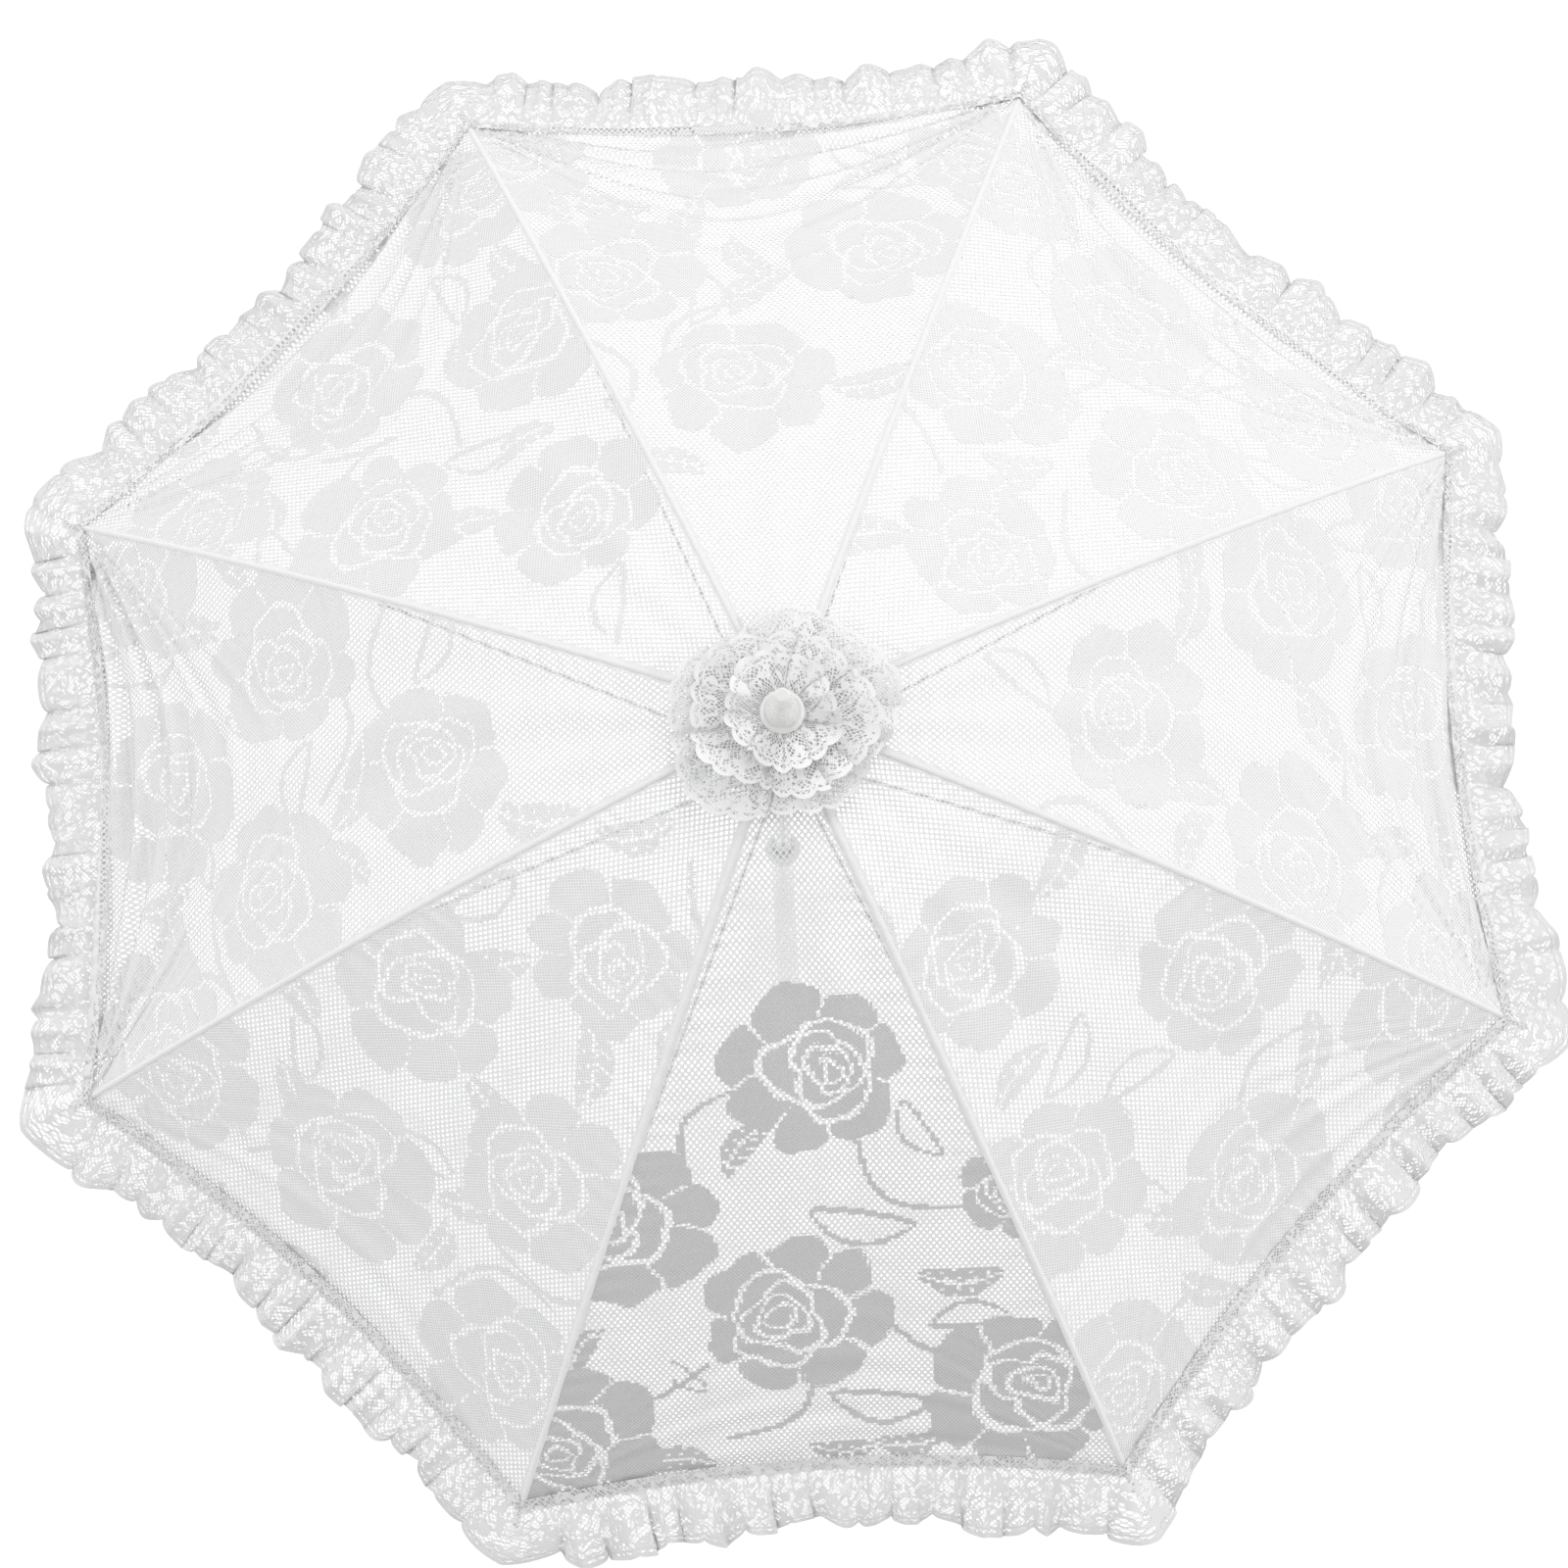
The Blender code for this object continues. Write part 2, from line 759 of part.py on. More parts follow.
# ---- ribs, stretchers and cover ----
def make_eighth(k):
    azimuth = math.radians(FIRST_RIB_DEG + 360 / RIBS * (k - 1))
    pivot = Vector((HINGE_RADIUS, 0, CROWN_Z))
    hinge = empty(
        f"rib_hinge_{k}",
        None,
        (HINGE_RADIUS * math.cos(azimuth), HINGE_RADIUS * math.sin(azimuth), CROWN_Z),
        (0, 0, azimuth),
    )
    rib = outline_curve(f"rib_{k}", rib_outline(), RIB_THICK)
    add(rib, STEEL, hinge, (0, 0, 0), (math.pi / 2, 0, 0))
    rivet_hinge = empty(f"stretcher_hinge_{k}", hinge, (LUG[0], 0, LUG[1]))
    stretcher = outline_curve(f"stretcher_{k}", stretcher_outline(), STRETCHER_THICK)
    add(stretcher, STEEL, rivet_hinge, (0, STRETCHER_SIDE, 0), (math.pi / 2, 0, 0))
    near = -RIB_THICK / 2 - GAP
    far = STRETCHER_SIDE + STRETCHER_THICK / 2 + GAP
    head = 0.0007
    rivet = turned(
        f"rivet_{k}",
        [
            (0.0, far + head),
            (0.0012, far + head),
            (0.0020, far + 0.0002),
            (0.0020, far),
            (RIVET_RADIUS, far),
            (RIVET_RADIUS, near),
            (0.0020, near),
            (0.0020, near - 0.0002),
            (0.0012, near - head),
            (0.0, near - head),
        ],
        8,
    )
    add(rivet, STEEL, hinge, (LUG[0], 0, LUG[1]), (-math.pi / 2, 0, 0))
    end = on_rib(RIB_LENGTH + GAP)
    tip = turned(
        f"rib_tip_{k}",
        [
            (0.0, TIP_LENGTH),
            (0.0012, TIP_LENGTH - 0.0003),
            (TIP_RADIUS, TIP_LENGTH - 0.0016),
            (TIP_RADIUS, TIP_LENGTH - 0.0040),
            (0.0016, TIP_LENGTH - 0.0048),
            (0.0016, 0.0),
            (0.0, 0.0),
        ],
        8,
    )
    add(
        tip,
        STEEL,
        hinge,
        (end[0], 0, end[1]),
        (0, math.pi / 2 + slope(RIB_LENGTH), 0),
    )
    add(
        sheet_object(f"cover_{k}", cover_rows(pivot), COVER_THICK), NET, hinge
    )
    add(
        sheet_object(f"frill_{k}", frill_rows(pivot), FRILL_THICK), FRILL, hinge
    )


make_shaft()
make_catch("top_catch", CATCHES[0])
make_catch("bottom_catch", CATCHES[1])
make_crown()
make_runner()
make_top()
make_handle()
for number in range(1, RIBS + 1):
    make_eighth(number)
bpy.context.view_layer.update()
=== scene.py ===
"""Lace parasol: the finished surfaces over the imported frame.

Everything is in metres in the frame's own axes: +Z up the shaft, the crook towards -Y,
the origin in the grip.
"""

import json
import math
from functools import partialmethod

import bmesh
import bpy
import numpy as np
from bpy.props import FloatProperty, FloatVectorProperty, IntProperty, PointerProperty
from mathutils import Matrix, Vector


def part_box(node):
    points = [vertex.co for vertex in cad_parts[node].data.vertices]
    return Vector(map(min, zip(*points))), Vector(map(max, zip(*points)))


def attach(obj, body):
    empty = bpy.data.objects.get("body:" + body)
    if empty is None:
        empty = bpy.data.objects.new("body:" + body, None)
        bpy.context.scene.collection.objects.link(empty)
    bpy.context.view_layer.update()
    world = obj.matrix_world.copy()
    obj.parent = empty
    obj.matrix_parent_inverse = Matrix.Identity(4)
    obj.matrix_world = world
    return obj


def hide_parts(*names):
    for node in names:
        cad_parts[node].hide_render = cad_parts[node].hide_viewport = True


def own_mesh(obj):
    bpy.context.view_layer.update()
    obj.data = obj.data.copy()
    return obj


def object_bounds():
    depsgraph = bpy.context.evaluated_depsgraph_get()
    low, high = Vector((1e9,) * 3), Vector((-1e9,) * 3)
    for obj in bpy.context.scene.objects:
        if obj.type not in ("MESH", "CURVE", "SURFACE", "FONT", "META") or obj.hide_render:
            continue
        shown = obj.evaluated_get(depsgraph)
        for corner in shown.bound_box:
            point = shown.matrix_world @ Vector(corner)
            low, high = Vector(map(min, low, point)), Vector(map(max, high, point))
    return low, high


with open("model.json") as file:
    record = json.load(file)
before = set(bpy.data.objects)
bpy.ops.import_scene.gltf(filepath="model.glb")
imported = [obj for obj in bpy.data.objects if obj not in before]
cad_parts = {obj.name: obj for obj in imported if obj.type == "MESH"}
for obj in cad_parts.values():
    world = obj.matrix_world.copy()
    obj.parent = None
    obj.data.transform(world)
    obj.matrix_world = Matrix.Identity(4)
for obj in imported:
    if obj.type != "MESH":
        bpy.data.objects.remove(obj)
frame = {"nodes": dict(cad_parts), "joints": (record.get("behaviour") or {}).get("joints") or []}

bl_info = {
    "name": "Lace Parasol",
    "version": (1, 0, 0),
    "blender": (4, 5, 0),
    "location": "3D View > Sidebar > Parasol",
    "description": "Makes the cover, frills, rosette, seams, handle and finishes of a lace parasol",
    "category": "Object",
}

CAD_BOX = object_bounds()
HINGES = {j["name"]: j for j in frame["joints"]}
RIBS = 8
HINGE_POINTS = np.array([HINGES[f"rib_hinge_{k}"]["pos_m"] for k in range(1, RIBS + 1)])
AZIMUTHS = np.arctan2(HINGE_POINTS[:, 1], HINGE_POINTS[:, 0])
CROWN_Z = float(HINGE_POINTS[0, 2])
HINGE_RADIUS = float(np.hypot(*HINGE_POINTS[0, :2]))

# the rib's bow and the cover's cut, as the frame has them
RIB_BEND_RADIUS = 1.0
RIB_START_SLOPE = math.radians(9.9)
COVER_OVER_RIB = 0.0024
COVER_LIFT = 0.0022
COVER_HOLE = 0.0085
COVER_START = COVER_HOLE - HINGE_RADIUS  # arc length at the hole in the top
COVER_END = 0.4085
HEM_RISE = 0.030
COVER_SAG = 0.006
PUCKER_PITCH = 0.0105
TRIM_THICKNESS = 0.0003  # of the lace and the seam tape


# Settings
def a_length(name, description, default):
    return FloatProperty(name=name, description=description, default=default, unit="LENGTH")


def a_colour(name, description, default):
    return FloatVectorProperty(
        name=name, description=description, subtype="COLOR", default=default, size=3
    )


class ParasolCover(bpy.types.PropertyGroup):
    """The net cover."""

    columns: IntProperty(
        name="Columns", description="Steps across each eighth of the cover", default=96, min=8
    )
    rows: IntProperty(
        name="Rows", description="Steps from the top of the cover to the hem", default=112, min=8
    )
    thickness: a_length("Thickness", "Thickness of the net", 0.0003)
    pucker: a_length("Pucker", "Height of the puckers beside the seams", 0.0006)
    fold: a_length("Folds", "Height of the slack folds along the hem", 0.0032)
    colour: a_colour("Yarn", "Colour of the net's yarn", (0.93, 0.93, 0.935))
    mesh_pitch: a_length("Mesh pitch", "Distance between the holes of the net, along a row", 0.0040)


class ParasolFrill(bpy.types.PropertyGroup):
    """The gathered lace at the hem and round the top."""

    width: a_length("Width", "Width of the frill outside the hem", 0.031)
    heading: a_length("Heading", "Width of the frill inside the hem", 0.008)
    flutes: IntProperty(
        name="Flutes", description="Folds in each eighth of the frill", default=14, min=1
    )
    scallops: IntProperty(
        name="Scallops", description="Scallops along each eighth of the edge", default=15, min=1
    )
    height: a_length("Flute height", "How far the outer edge waves up and down", 0.0030)
    colour: a_colour("Lace", "Colour of the frill's lace", (0.90, 0.90, 0.905))
    rosette_radius: a_length("Rosette", "Radius of the rosette at the top", 0.050)


class ParasolHandle(bpy.types.PropertyGroup):
    """The crook handle and the hard finishes."""

    grip_radius: a_length("Grip radius", "Radius of the crook's bar", 0.0075)
    plastic: a_colour("Plastic", "Colour of the moulded plastic", (0.86, 0.86, 0.85))
    steel: a_colour("Steel", "Colour of the plated steel", (0.62, 0.63, 0.65))


class ParasolStage(bpy.types.PropertyGroup):
    """The floor, the light and the camera."""

    floor: a_colour("Floor", "Colour of the floor", (0.95, 0.95, 0.95))
    key: FloatProperty(
        name="Key light", description="Power of the key light", default=21.0, unit="POWER"
    )
    fill: FloatProperty(name="Sky", description="Strength of the even light", default=0.63)


def settings():
    return bpy.context.scene


# Shapes
def along_rib(s, up):
    """A point (outwards, upwards) from the rib's hinge: an arc of radius RIB_BEND_RADIUS that
    starts RIB_START_SLOPE below level, at arc length s, moved up square to the arc."""
    a = RIB_START_SLOPE + s / RIB_BEND_RADIUS
    x = RIB_BEND_RADIUS * (np.sin(a) - math.sin(RIB_START_SLOPE)) + up * np.sin(a)
    y = -RIB_BEND_RADIUS * (math.cos(RIB_START_SLOPE) - np.cos(a)) + up * np.cos(a)
    return x, y


def cover_over_rib(s):
    """Radius and height of the cover over a rib: the rib's arc raised by COVER_OVER_RIB, with a
    soft rise of COVER_LIFT that dies away from the crown as exp(-(s/0.016)^2)."""
    t = np.maximum(s, 0.0)
    x, y = along_rib(t, COVER_OVER_RIB + COVER_LIFT * np.exp(-((t / 0.016) ** 2)))
    return HINGE_RADIUS + x + np.minimum(s, 0.0), CROWN_Z + y


def hem_at(u):
    """Arc length of the hem: COVER_END at the ribs, and drawn back between them as a parabola."""
    return COVER_END * (1 - HEM_RISE * 4 * np.abs(u) * (1 - np.abs(u)))


def cover_length(u, v):
    """Arc length of a point of the cover: v is its share of the way from the hole to the hem."""
    return COVER_START + (hem_at(u) - COVER_START) * v


def gore_angle(k, side):
    """The angle from rib k to the rib on that side of it."""
    other = (k + (1 if side > 0 else -1)) % RIBS
    return (AZIMUTHS[other] - AZIMUTHS[k] + math.pi) % (2 * math.pi) - math.pi


def cover_points(k, u, v, wrinkle=0.0, pucker=0.0):
    """The cover over rib k. u is the share of the way to the next rib (negative to the one before),
    v runs from the top to the hem. Each level is a straight line from rib to rib, sunk by
    COVER_SAG times a parabola in u and a squared sine in v. On it lie slack folds that fan out
    from the rib tips, a sine of the distance from the hem divided by that parabola, and short
    puckers beside the seams, a sine along the rib that dies away across it."""
    share = np.abs(u)
    bulge = 4 * share * (1 - share)
    s = cover_length(u, v)
    r, z = cover_over_rib(s)
    turn = np.where(u >= 0, gore_angle(k, 1), gore_angle(k, -1))
    x = r * (1 - share) + r * np.cos(turn) * share
    y = r * np.sin(turn) * share
    t = np.clip(s, 0, None)
    depth = COVER_SAG * bulge * np.sin(math.pi / 2 * np.minimum(t / COVER_END, 1)) ** 2
    gore = np.where(u >= 0, k, k - 1) % RIBS
    across = np.where(u >= 0, share, 1 - share)
    from_hem = hem_at(u) - s
    if wrinkle:
        slack = np.array(SLACK)[gore]
        fan = from_hem / (bulge + 0.10)
        drift = 0.35 * np.sin(5.1 * across + 1.7 * gore)
        folds = np.sin(2 * math.pi * (fan / 0.021 + drift) + gore * 1.9)
        folds = folds + 0.5 * np.sin(2 * math.pi * fan / 0.013 + 3.1 * across + gore)
        near = np.exp(-((fan / 0.085) ** 2)) * np.sqrt(bulge)
        depth = depth - 0.8 * wrinkle * slack * folds * near
        long = np.sin(2 * math.pi * (3.0 * across + 0.22 * np.sin(7 * t / COVER_END + gore)))
        along = np.sin(math.pi * np.minimum(t / COVER_END, 1))
        depth = depth - 0.35 * wrinkle * long * bulge * along
    if pucker:
        off = share * 2 * r * np.abs(np.sin(turn / 2))
        ripple = np.sin(2 * math.pi * s / PUCKER_PITCH + 1.3 * np.sin(s * 61 + k))
        ripple = ripple * (1 + 0.4 * np.sin(s * 143 + 2.0 * k))
        beside = (1 - np.exp(-((off / 0.0035) ** 2))) * np.exp(-off / 0.011)
        depth = depth - pucker * ripple * beside
        ripple = np.sin(2 * math.pi * across * 34 + 2.2 * np.sin(across * 19 + gore))
        depth = depth - pucker * ripple * np.exp(-np.maximum(from_hem, 0) / 0.010) * np.sqrt(bulge)
    a = RIB_START_SLOPE + t / RIB_BEND_RADIUS
    size = np.maximum(np.hypot(x, y), 1e-9)
    x = x - depth * np.sin(a) * x / size
    y = y - depth * np.sin(a) * y / size
    z = z - depth * np.cos(a)
    c, d = math.cos(AZIMUTHS[k]), math.sin(AZIMUTHS[k])
    return np.stack([x * c - y * d, x * d + y * c, z], axis=-1)


# how slack each gore is, from the front one round by the right, back and left
SLACK = (0.25, 0.35, 0.75, 0.8, 1.0, 0.8, 1.15, 0.3)
# painted shade on the yarn of each gore, darkest on the front gore: 1 is the plain yarn
GORE_PAINTED_SHADE = (0.69, 0.97, 1.0, 1.0, 0.97, 0.96, 0.97, 0.97)


def grid_faces(rows, columns, round_columns=False):
    """Quads over a grid of points stored row by row, facing up where rows run outwards and columns
    anticlockwise."""
    wide = columns - (0 if round_columns else 1)
    i, j = np.meshgrid(np.arange(rows - 1), np.arange(wide), indexing="ij")
    i2, j2 = i + 1, (j + 1) % columns
    here, out = i * columns, i2 * columns
    return np.stack([here + j, out + j, out + j2, here + j2], -1).reshape(-1, 4)


def put_in_scene(name, data):
    ob = bpy.data.objects.new(name, data)
    bpy.context.scene.collection.objects.link(ob)
    return ob


def grid_object(name, points, closed=False):
    """A mesh object from an array of points (rows, columns, 3). A closed one is a tube, whose
    points that meet are merged."""
    rows, columns = points.shape[:2]
    me = bpy.data.meshes.new(name)
    faces = grid_faces(rows, columns, closed)
    me.from_pydata(points.reshape(-1, 3).tolist(), [], faces.tolist())
    if closed:
        bm = bmesh.new()
        bm.from_mesh(me)
        bmesh.ops.remove_doubles(bm, verts=bm.verts, dist=1e-6)
        bmesh.ops.recalc_face_normals(bm, faces=bm.faces)
        bm.to_mesh(me)
        bm.free()
    me.shade_smooth()
    return put_in_scene(name, me)


def grid_normals(points, round_columns=False):
    """Unit normals of a grid, from the cross product of its steps outwards and sideways."""
    out = np.gradient(points, axis=0)
    if round_columns:
        side = np.roll(points, -1, 1) - np.roll(points, 1, 1)
    else:
        side = np.gradient(points, axis=1)
    n = np.cross(out, side)
    return n / np.maximum(np.linalg.norm(n, axis=-1, keepdims=True), 1e-12)


def cloth_object(name, points, normals, thickness, uv, values, corners=None, round_columns=False):
    """A closed thin sheet: the grid moved half the thickness to each side along the surface's own
    normals, with a wall round every open edge. The corner values come in the order of
    grid_faces, and both faces carry the same pattern."""
    rows, columns = points.shape[:2]
    count = rows * columns
    half = normals * (thickness / 2)
    verts = np.concatenate([(points + half).reshape(-1, 3), (points - half).reshape(-1, 3)])
    top = grid_faces(rows, columns, round_columns)
    ids = np.arange(top.size).reshape(-1, 4)
    cell = np.arange(len(top)).reshape(rows - 1, -1)
    edges = [(cell[-1], 1, 2), (cell[0], 3, 0)]
    if not round_columns:
        edges += [(cell[:, 0], 0, 1), (cell[:, -1], 2, 3)]
    faces, order = [top, top[:, ::-1] + count], [ids, ids[:, ::-1]]
    for pick, a, b in edges:
        p, q = top[pick, a], top[pick, b]
        faces.append(np.stack([q, p, p + count, q + count], 1))
        order.append(ids[pick][:, [b, a, a, b]])
    order = np.concatenate(order).ravel()
    me = bpy.data.meshes.new(name)
    me.from_pydata(verts.tolist(), [], np.concatenate(faces).tolist())
    me.shade_smooth()
    fill_layer(me.uv_layers.new(name="cloth"), "uv", uv[order])
    for key, value in (corners or {}).items():
        fill_layer(me.attributes.new(key, "FLOAT_COLOR", "CORNER"), "color", value[order])
    for key, value in values.items():
        fill_layer(me.attributes.new(key, "FLOAT", "POINT"), "value", np.tile(value.ravel(), 2))
    flat = normals.reshape(-1, 3)
    split = np.zeros((len(order), 3))
    split[: top.size] = flat[top.ravel()]
    split[top.size : 2 * top.size] = -flat[top[:, ::-1].ravel()]
    me.normals_split_custom_set(split.tolist())
    return put_in_scene(name, me)


def corners_of(values):
    """Values on a grid (rows, columns, n), read at each face corner in the order of grid_faces."""
    rows, columns = values.shape[:2]
    return values.reshape(rows * columns, -1)[grid_faces(rows, columns).ravel()]


def fill_layer(layer, field, values):
    layer.data.foreach_set(field, np.ascontiguousarray(values, np.float32).ravel())


# Woven motifs
LACE_REPEAT = 0.0201  # one scallop of the frill
STITCH = (0.0020, 0.0016)  # the net's stitch, across and along a gore
FRONT = 0  # the front gore
# Each gore's roses: across and along the gore and size, in millimetres, and turn in degrees.
ROSES = {
    0: [
        (-8, 300, 48, 10), (-88, 243, 47, 40), (-121, 365, 46, -25),
        (98, 352, 50, 160), (4, 166, 45, 200), (98, 232, 30, 300),
    ],
    1: [
        (-20, 145, 43, 80), (60, 245, 47, 10), (-70, 262, 47, 150),
        (0, 350, 48, 60), (120, 352, 46, 220), (-118, 365, 44, 330),
    ],
    2: [
        (0, 175, 46, 120), (-65, 268, 48, 20), (62, 275, 46, 250),
        (0, 362, 48, 170), (-122, 362, 45, 90), (124, 366, 45, 0),
    ],
    3: [
        (-12, 130, 40, 40), (45, 215, 46, 190), (-55, 245, 47, 320),
        (20, 320, 48, 100), (-90, 345, 46, 210), (118, 340, 45, 50),
    ],
    4: [
        (10, 185, 45, 270), (-60, 280, 47, 60), (70, 272, 46, 140),
        (5, 365, 46, 20), (-125, 350, 44, 180), (128, 362, 45, 300),
    ],
    5: [
        (-15, 150, 43, 130), (55, 235, 47, 30), (-70, 250, 46, 280),
        (0, 330, 48, 200), (110, 335, 46, 90), (-112, 355, 45, 10),
    ],
    6: [
        (10, 175, 45, 20), (-60, 262, 47, 190), (60, 268, 46, 310),
        (0, 345, 50, 80), (-118, 358, 45, 240), (120, 352, 46, 150),
    ],
    7: [
        (10, 135, 42, 210), (-45, 220, 46, 100), (55, 250, 47, 340),
        (-20, 325, 48, 50), (95, 350, 46, 170), (-118, 345, 45, 290),
    ],
}
# The front gore's leaves: across, along, length, turn, 0 for a solid leaf and 1 for one drawn in
# outline.
LEAVES = [
    (70, 283, 42, 0, 0), (74, 305, 40, 175, 1), (24, 250, 52, 12, 1),
    (-112, 312, 34, 120, 0), (-63, 333, 26, 50, 1), (30, 356, 52, 8, 1),
    (10, 384, 34, 4, 0), (44, 382, 36, -6, 0), (-70, 385, 40, 184, 0),
    (52, 200, 36, 60, 1), (-30, 205, 36, 130, 0),
]
# Its stems: across, along, length, turn.
STEMS = [
    (-85, 330, 70, 0), (-20, 350, 70, -50), (62, 312, 70, 10),
    (45, 225, 70, 40), (-45, 195, 60, 120),
]


def in_metres(motifs):
    return [tuple(n / 1000 for n in q[:3]) + q[3:] for q in motifs]


def roses_of(gore):
    return in_metres(ROSES[gore])


def leaves_of(gore):
    """The front gore's own leaves. The others get three round each rose, at fixed angles from its
    turn."""
    if gore == FRONT:
        return in_metres(LEAVES)
    out = []
    for x, y, size, turn in roses_of(gore):
        for n, (step, far) in enumerate(((35, 1.42), (165, 1.40), (275, 1.45))):
            a = math.radians(turn + step)
            at = (x + far * size * math.cos(a), y + far * size * math.sin(a))
            out.append((*at, 0.040 + 0.004 * n, turn + step + 62 - 40 * n, n % 2))
    return out


def stems_of(gore):
    """The front gore's own stems. The others get one beside each rose."""
    if gore == FRONT:
        return in_metres(STEMS)
    out = []
    for x, y, size, turn in roses_of(gore):
        a = math.radians(turn + 95)
        out.append((x + 1.5 * size * math.cos(a), y + 1.5 * size * math.sin(a), 0.075, turn + 160))
    return out


def motif_frame(xy, motifs, half_width):
    """For each face corner, its place in the frame of one motif in units of the motif's size, and
    the cloth's own directions in that frame. A face takes the motif nearest its middle, so that
    no pattern is smeared between two. The second value is the motif's kind."""
    m = np.array([(*q[:3], math.radians(q[3]), q[4] if len(q) > 4 else 0) for q in motifs], float)
    middle = xy.reshape(-1, 4, 2).mean(1)
    d = middle[:, None, :] - m[None, :, :2]
    c, s = np.cos(m[:, 3]), np.sin(m[:, 3])
    x = (d[..., 0] * c + d[..., 1] * s) / m[:, 2]
    y = (-d[..., 0] * s + d[..., 1] * c) / m[:, 2]
    if half_width is None:
        near = np.hypot(x, y) * m[:, 2]
    else:
        near = np.maximum(np.abs(x) / 0.52, np.abs(y) / half_width)
    m = m[np.repeat(near.argmin(1), 4)]
    d = xy - m[:, :2]
    c, s = np.cos(m[:, 3]) / m[:, 2], np.sin(m[:, 3]) / m[:, 2]
    return np.stack([d[:, 0] * c + d[:, 1] * s, -d[:, 0] * s + d[:, 1] * c, c, s], 1), m[:, 4]


# Materials
class Shade:
    """A short hand for building a material from Math nodes."""

    def __init__(self, name):
        self.mat = bpy.data.materials.get(name) or bpy.data.materials.new(name)
        self.mat.use_nodes = True
        self.tree = self.mat.node_tree
        self.tree.nodes.clear()
        self.out = self.tree.nodes.new("ShaderNodeOutputMaterial")
        self.bsdf = self.tree.nodes.new("ShaderNodeBsdfPrincipled")
        self.tree.links.new(self.bsdf.outputs[0], self.out.inputs["Surface"])

    def put(self, socket, value):
        if isinstance(value, bpy.types.NodeSocket):
            self.tree.links.new(value, socket)
        elif value is not None:
            socket.default_value = value

    def math(self, operation, a, b=None, c=None, clamp=False):
        n = self.tree.nodes.new("ShaderNodeMath")
        n.operation = operation
        n.use_clamp = clamp
        for socket, value in zip(n.inputs, (a, b, c)):
            self.put(socket, value)
        return n.outputs[0]

    def flip(self, a):
        return self.math("SUBTRACT", 1.0, a)

    def left(self, a):
        """1 - a, never below 0"""
        return self.math("SUBTRACT", 1.0, a, clamp=True)

    def cycle(self, a, pitch):
        """How far a is through its present pitch, from 0 to 1"""
        return self.math("FRACT", self.math("DIVIDE", a, pitch))

    def wave(self, a, pitch):
        """cos(pi a / pitch)"""
        return self.math("COSINE", self.mul(a, math.pi / pitch))

    def length(self, x, y):
        return self.math("SQRT", self.add(self.mul(x, x), self.mul(y, y)))

    def attribute(self, name):
        n = self.tree.nodes.new("ShaderNodeAttribute")
        n.attribute_name = name
        return n

    def xyz(self, vector):
        n = self.tree.nodes.new("ShaderNodeSeparateXYZ")
        self.put(n.inputs[0], vector)
        return n.outputs

    def uv(self, name):
        n = self.tree.nodes.new("ShaderNodeUVMap")
        n.uv_map = name
        return self.xyz(n.outputs[0])

    def join(self, *values):
        n = self.tree.nodes.new("ShaderNodeCombineXYZ")
        for socket, value in zip(n.inputs, values):
            self.put(socket, value)
        return n.outputs[0]

    def object_point(self):
        return self.tree.nodes.new("ShaderNodeTexCoord").outputs["Object"]

    def noise(self, vector, scale, detail=2.0, roughness=0.5):
        n = self.tree.nodes.new("ShaderNodeTexNoise")
        self.put(n.inputs["Vector"], vector)
        n.inputs["Scale"].default_value = scale
        n.inputs["Detail"].default_value = detail
        n.inputs["Roughness"].default_value = roughness
        return n.outputs["Fac"]

    def ramp(self, value, low, high, out_low=0.0, out_high=1.0):
        n = self.tree.nodes.new("ShaderNodeMapRange")
        n.interpolation_type = "SMOOTHSTEP"
        for i, x in enumerate((value, low, high, out_low, out_high)):
            self.put(n.inputs[i], x)
        return n.outputs[0]

    def mix(self, share, a, b):
        n = self.tree.nodes.new("ShaderNodeMix")
        n.data_type = "RGBA"
        self.put(n.inputs[0], share)
        self.put(n.inputs[6], a if isinstance(a, bpy.types.NodeSocket) else (*a, 1.0))
        self.put(n.inputs[7], b if isinstance(b, bpy.types.NodeSocket) else (*b, 1.0))
        return n.outputs[2]

    def bump(self, height, distance, strength=1.0):
        n = self.tree.nodes.new("ShaderNodeBump")
        n.inputs["Strength"].default_value = strength
        n.inputs["Distance"].default_value = distance
        self.put(n.inputs["Height"], height)
        self.put(self.bsdf.inputs["Normal"], n.outputs[0])

    def surface(self, **values):
        for name, value in values.items():
            self.put(self.bsdf.inputs[name.replace("_", " ")], value)
        return self.mat


for method, operation in {
    "add": "ADD",
    "sub": "SUBTRACT",
    "mul": "MULTIPLY",
    "muladd": "MULTIPLY_ADD",
    "less": "LESS_THAN",
    "absolute": "ABSOLUTE",
    "either": "MAXIMUM",
    "both": "MINIMUM",
}.items():
    setattr(Shade, method, partialmethod(Shade.math, operation))


def woven_place(sh, name, u, v):
    """A motif's coordinates, held still over each stitch of the net, so that its outlines run in
    steps as knitted ones do."""
    at = sh.attribute(name)
    x, y, c = sh.xyz(at.outputs["Color"])
    s = at.outputs["Alpha"]
    du = sh.mul(sh.sub(0.5, sh.cycle(u, STITCH[0])), STITCH[0])
    dv = sh.mul(sh.sub(0.5, sh.cycle(v, STITCH[1])), STITCH[1])
    x = sh.add(x, sh.add(sh.mul(du, c), sh.mul(dv, s)))
    y = sh.add(y, sh.sub(sh.mul(dv, c), sh.mul(du, s)))
    return x, y


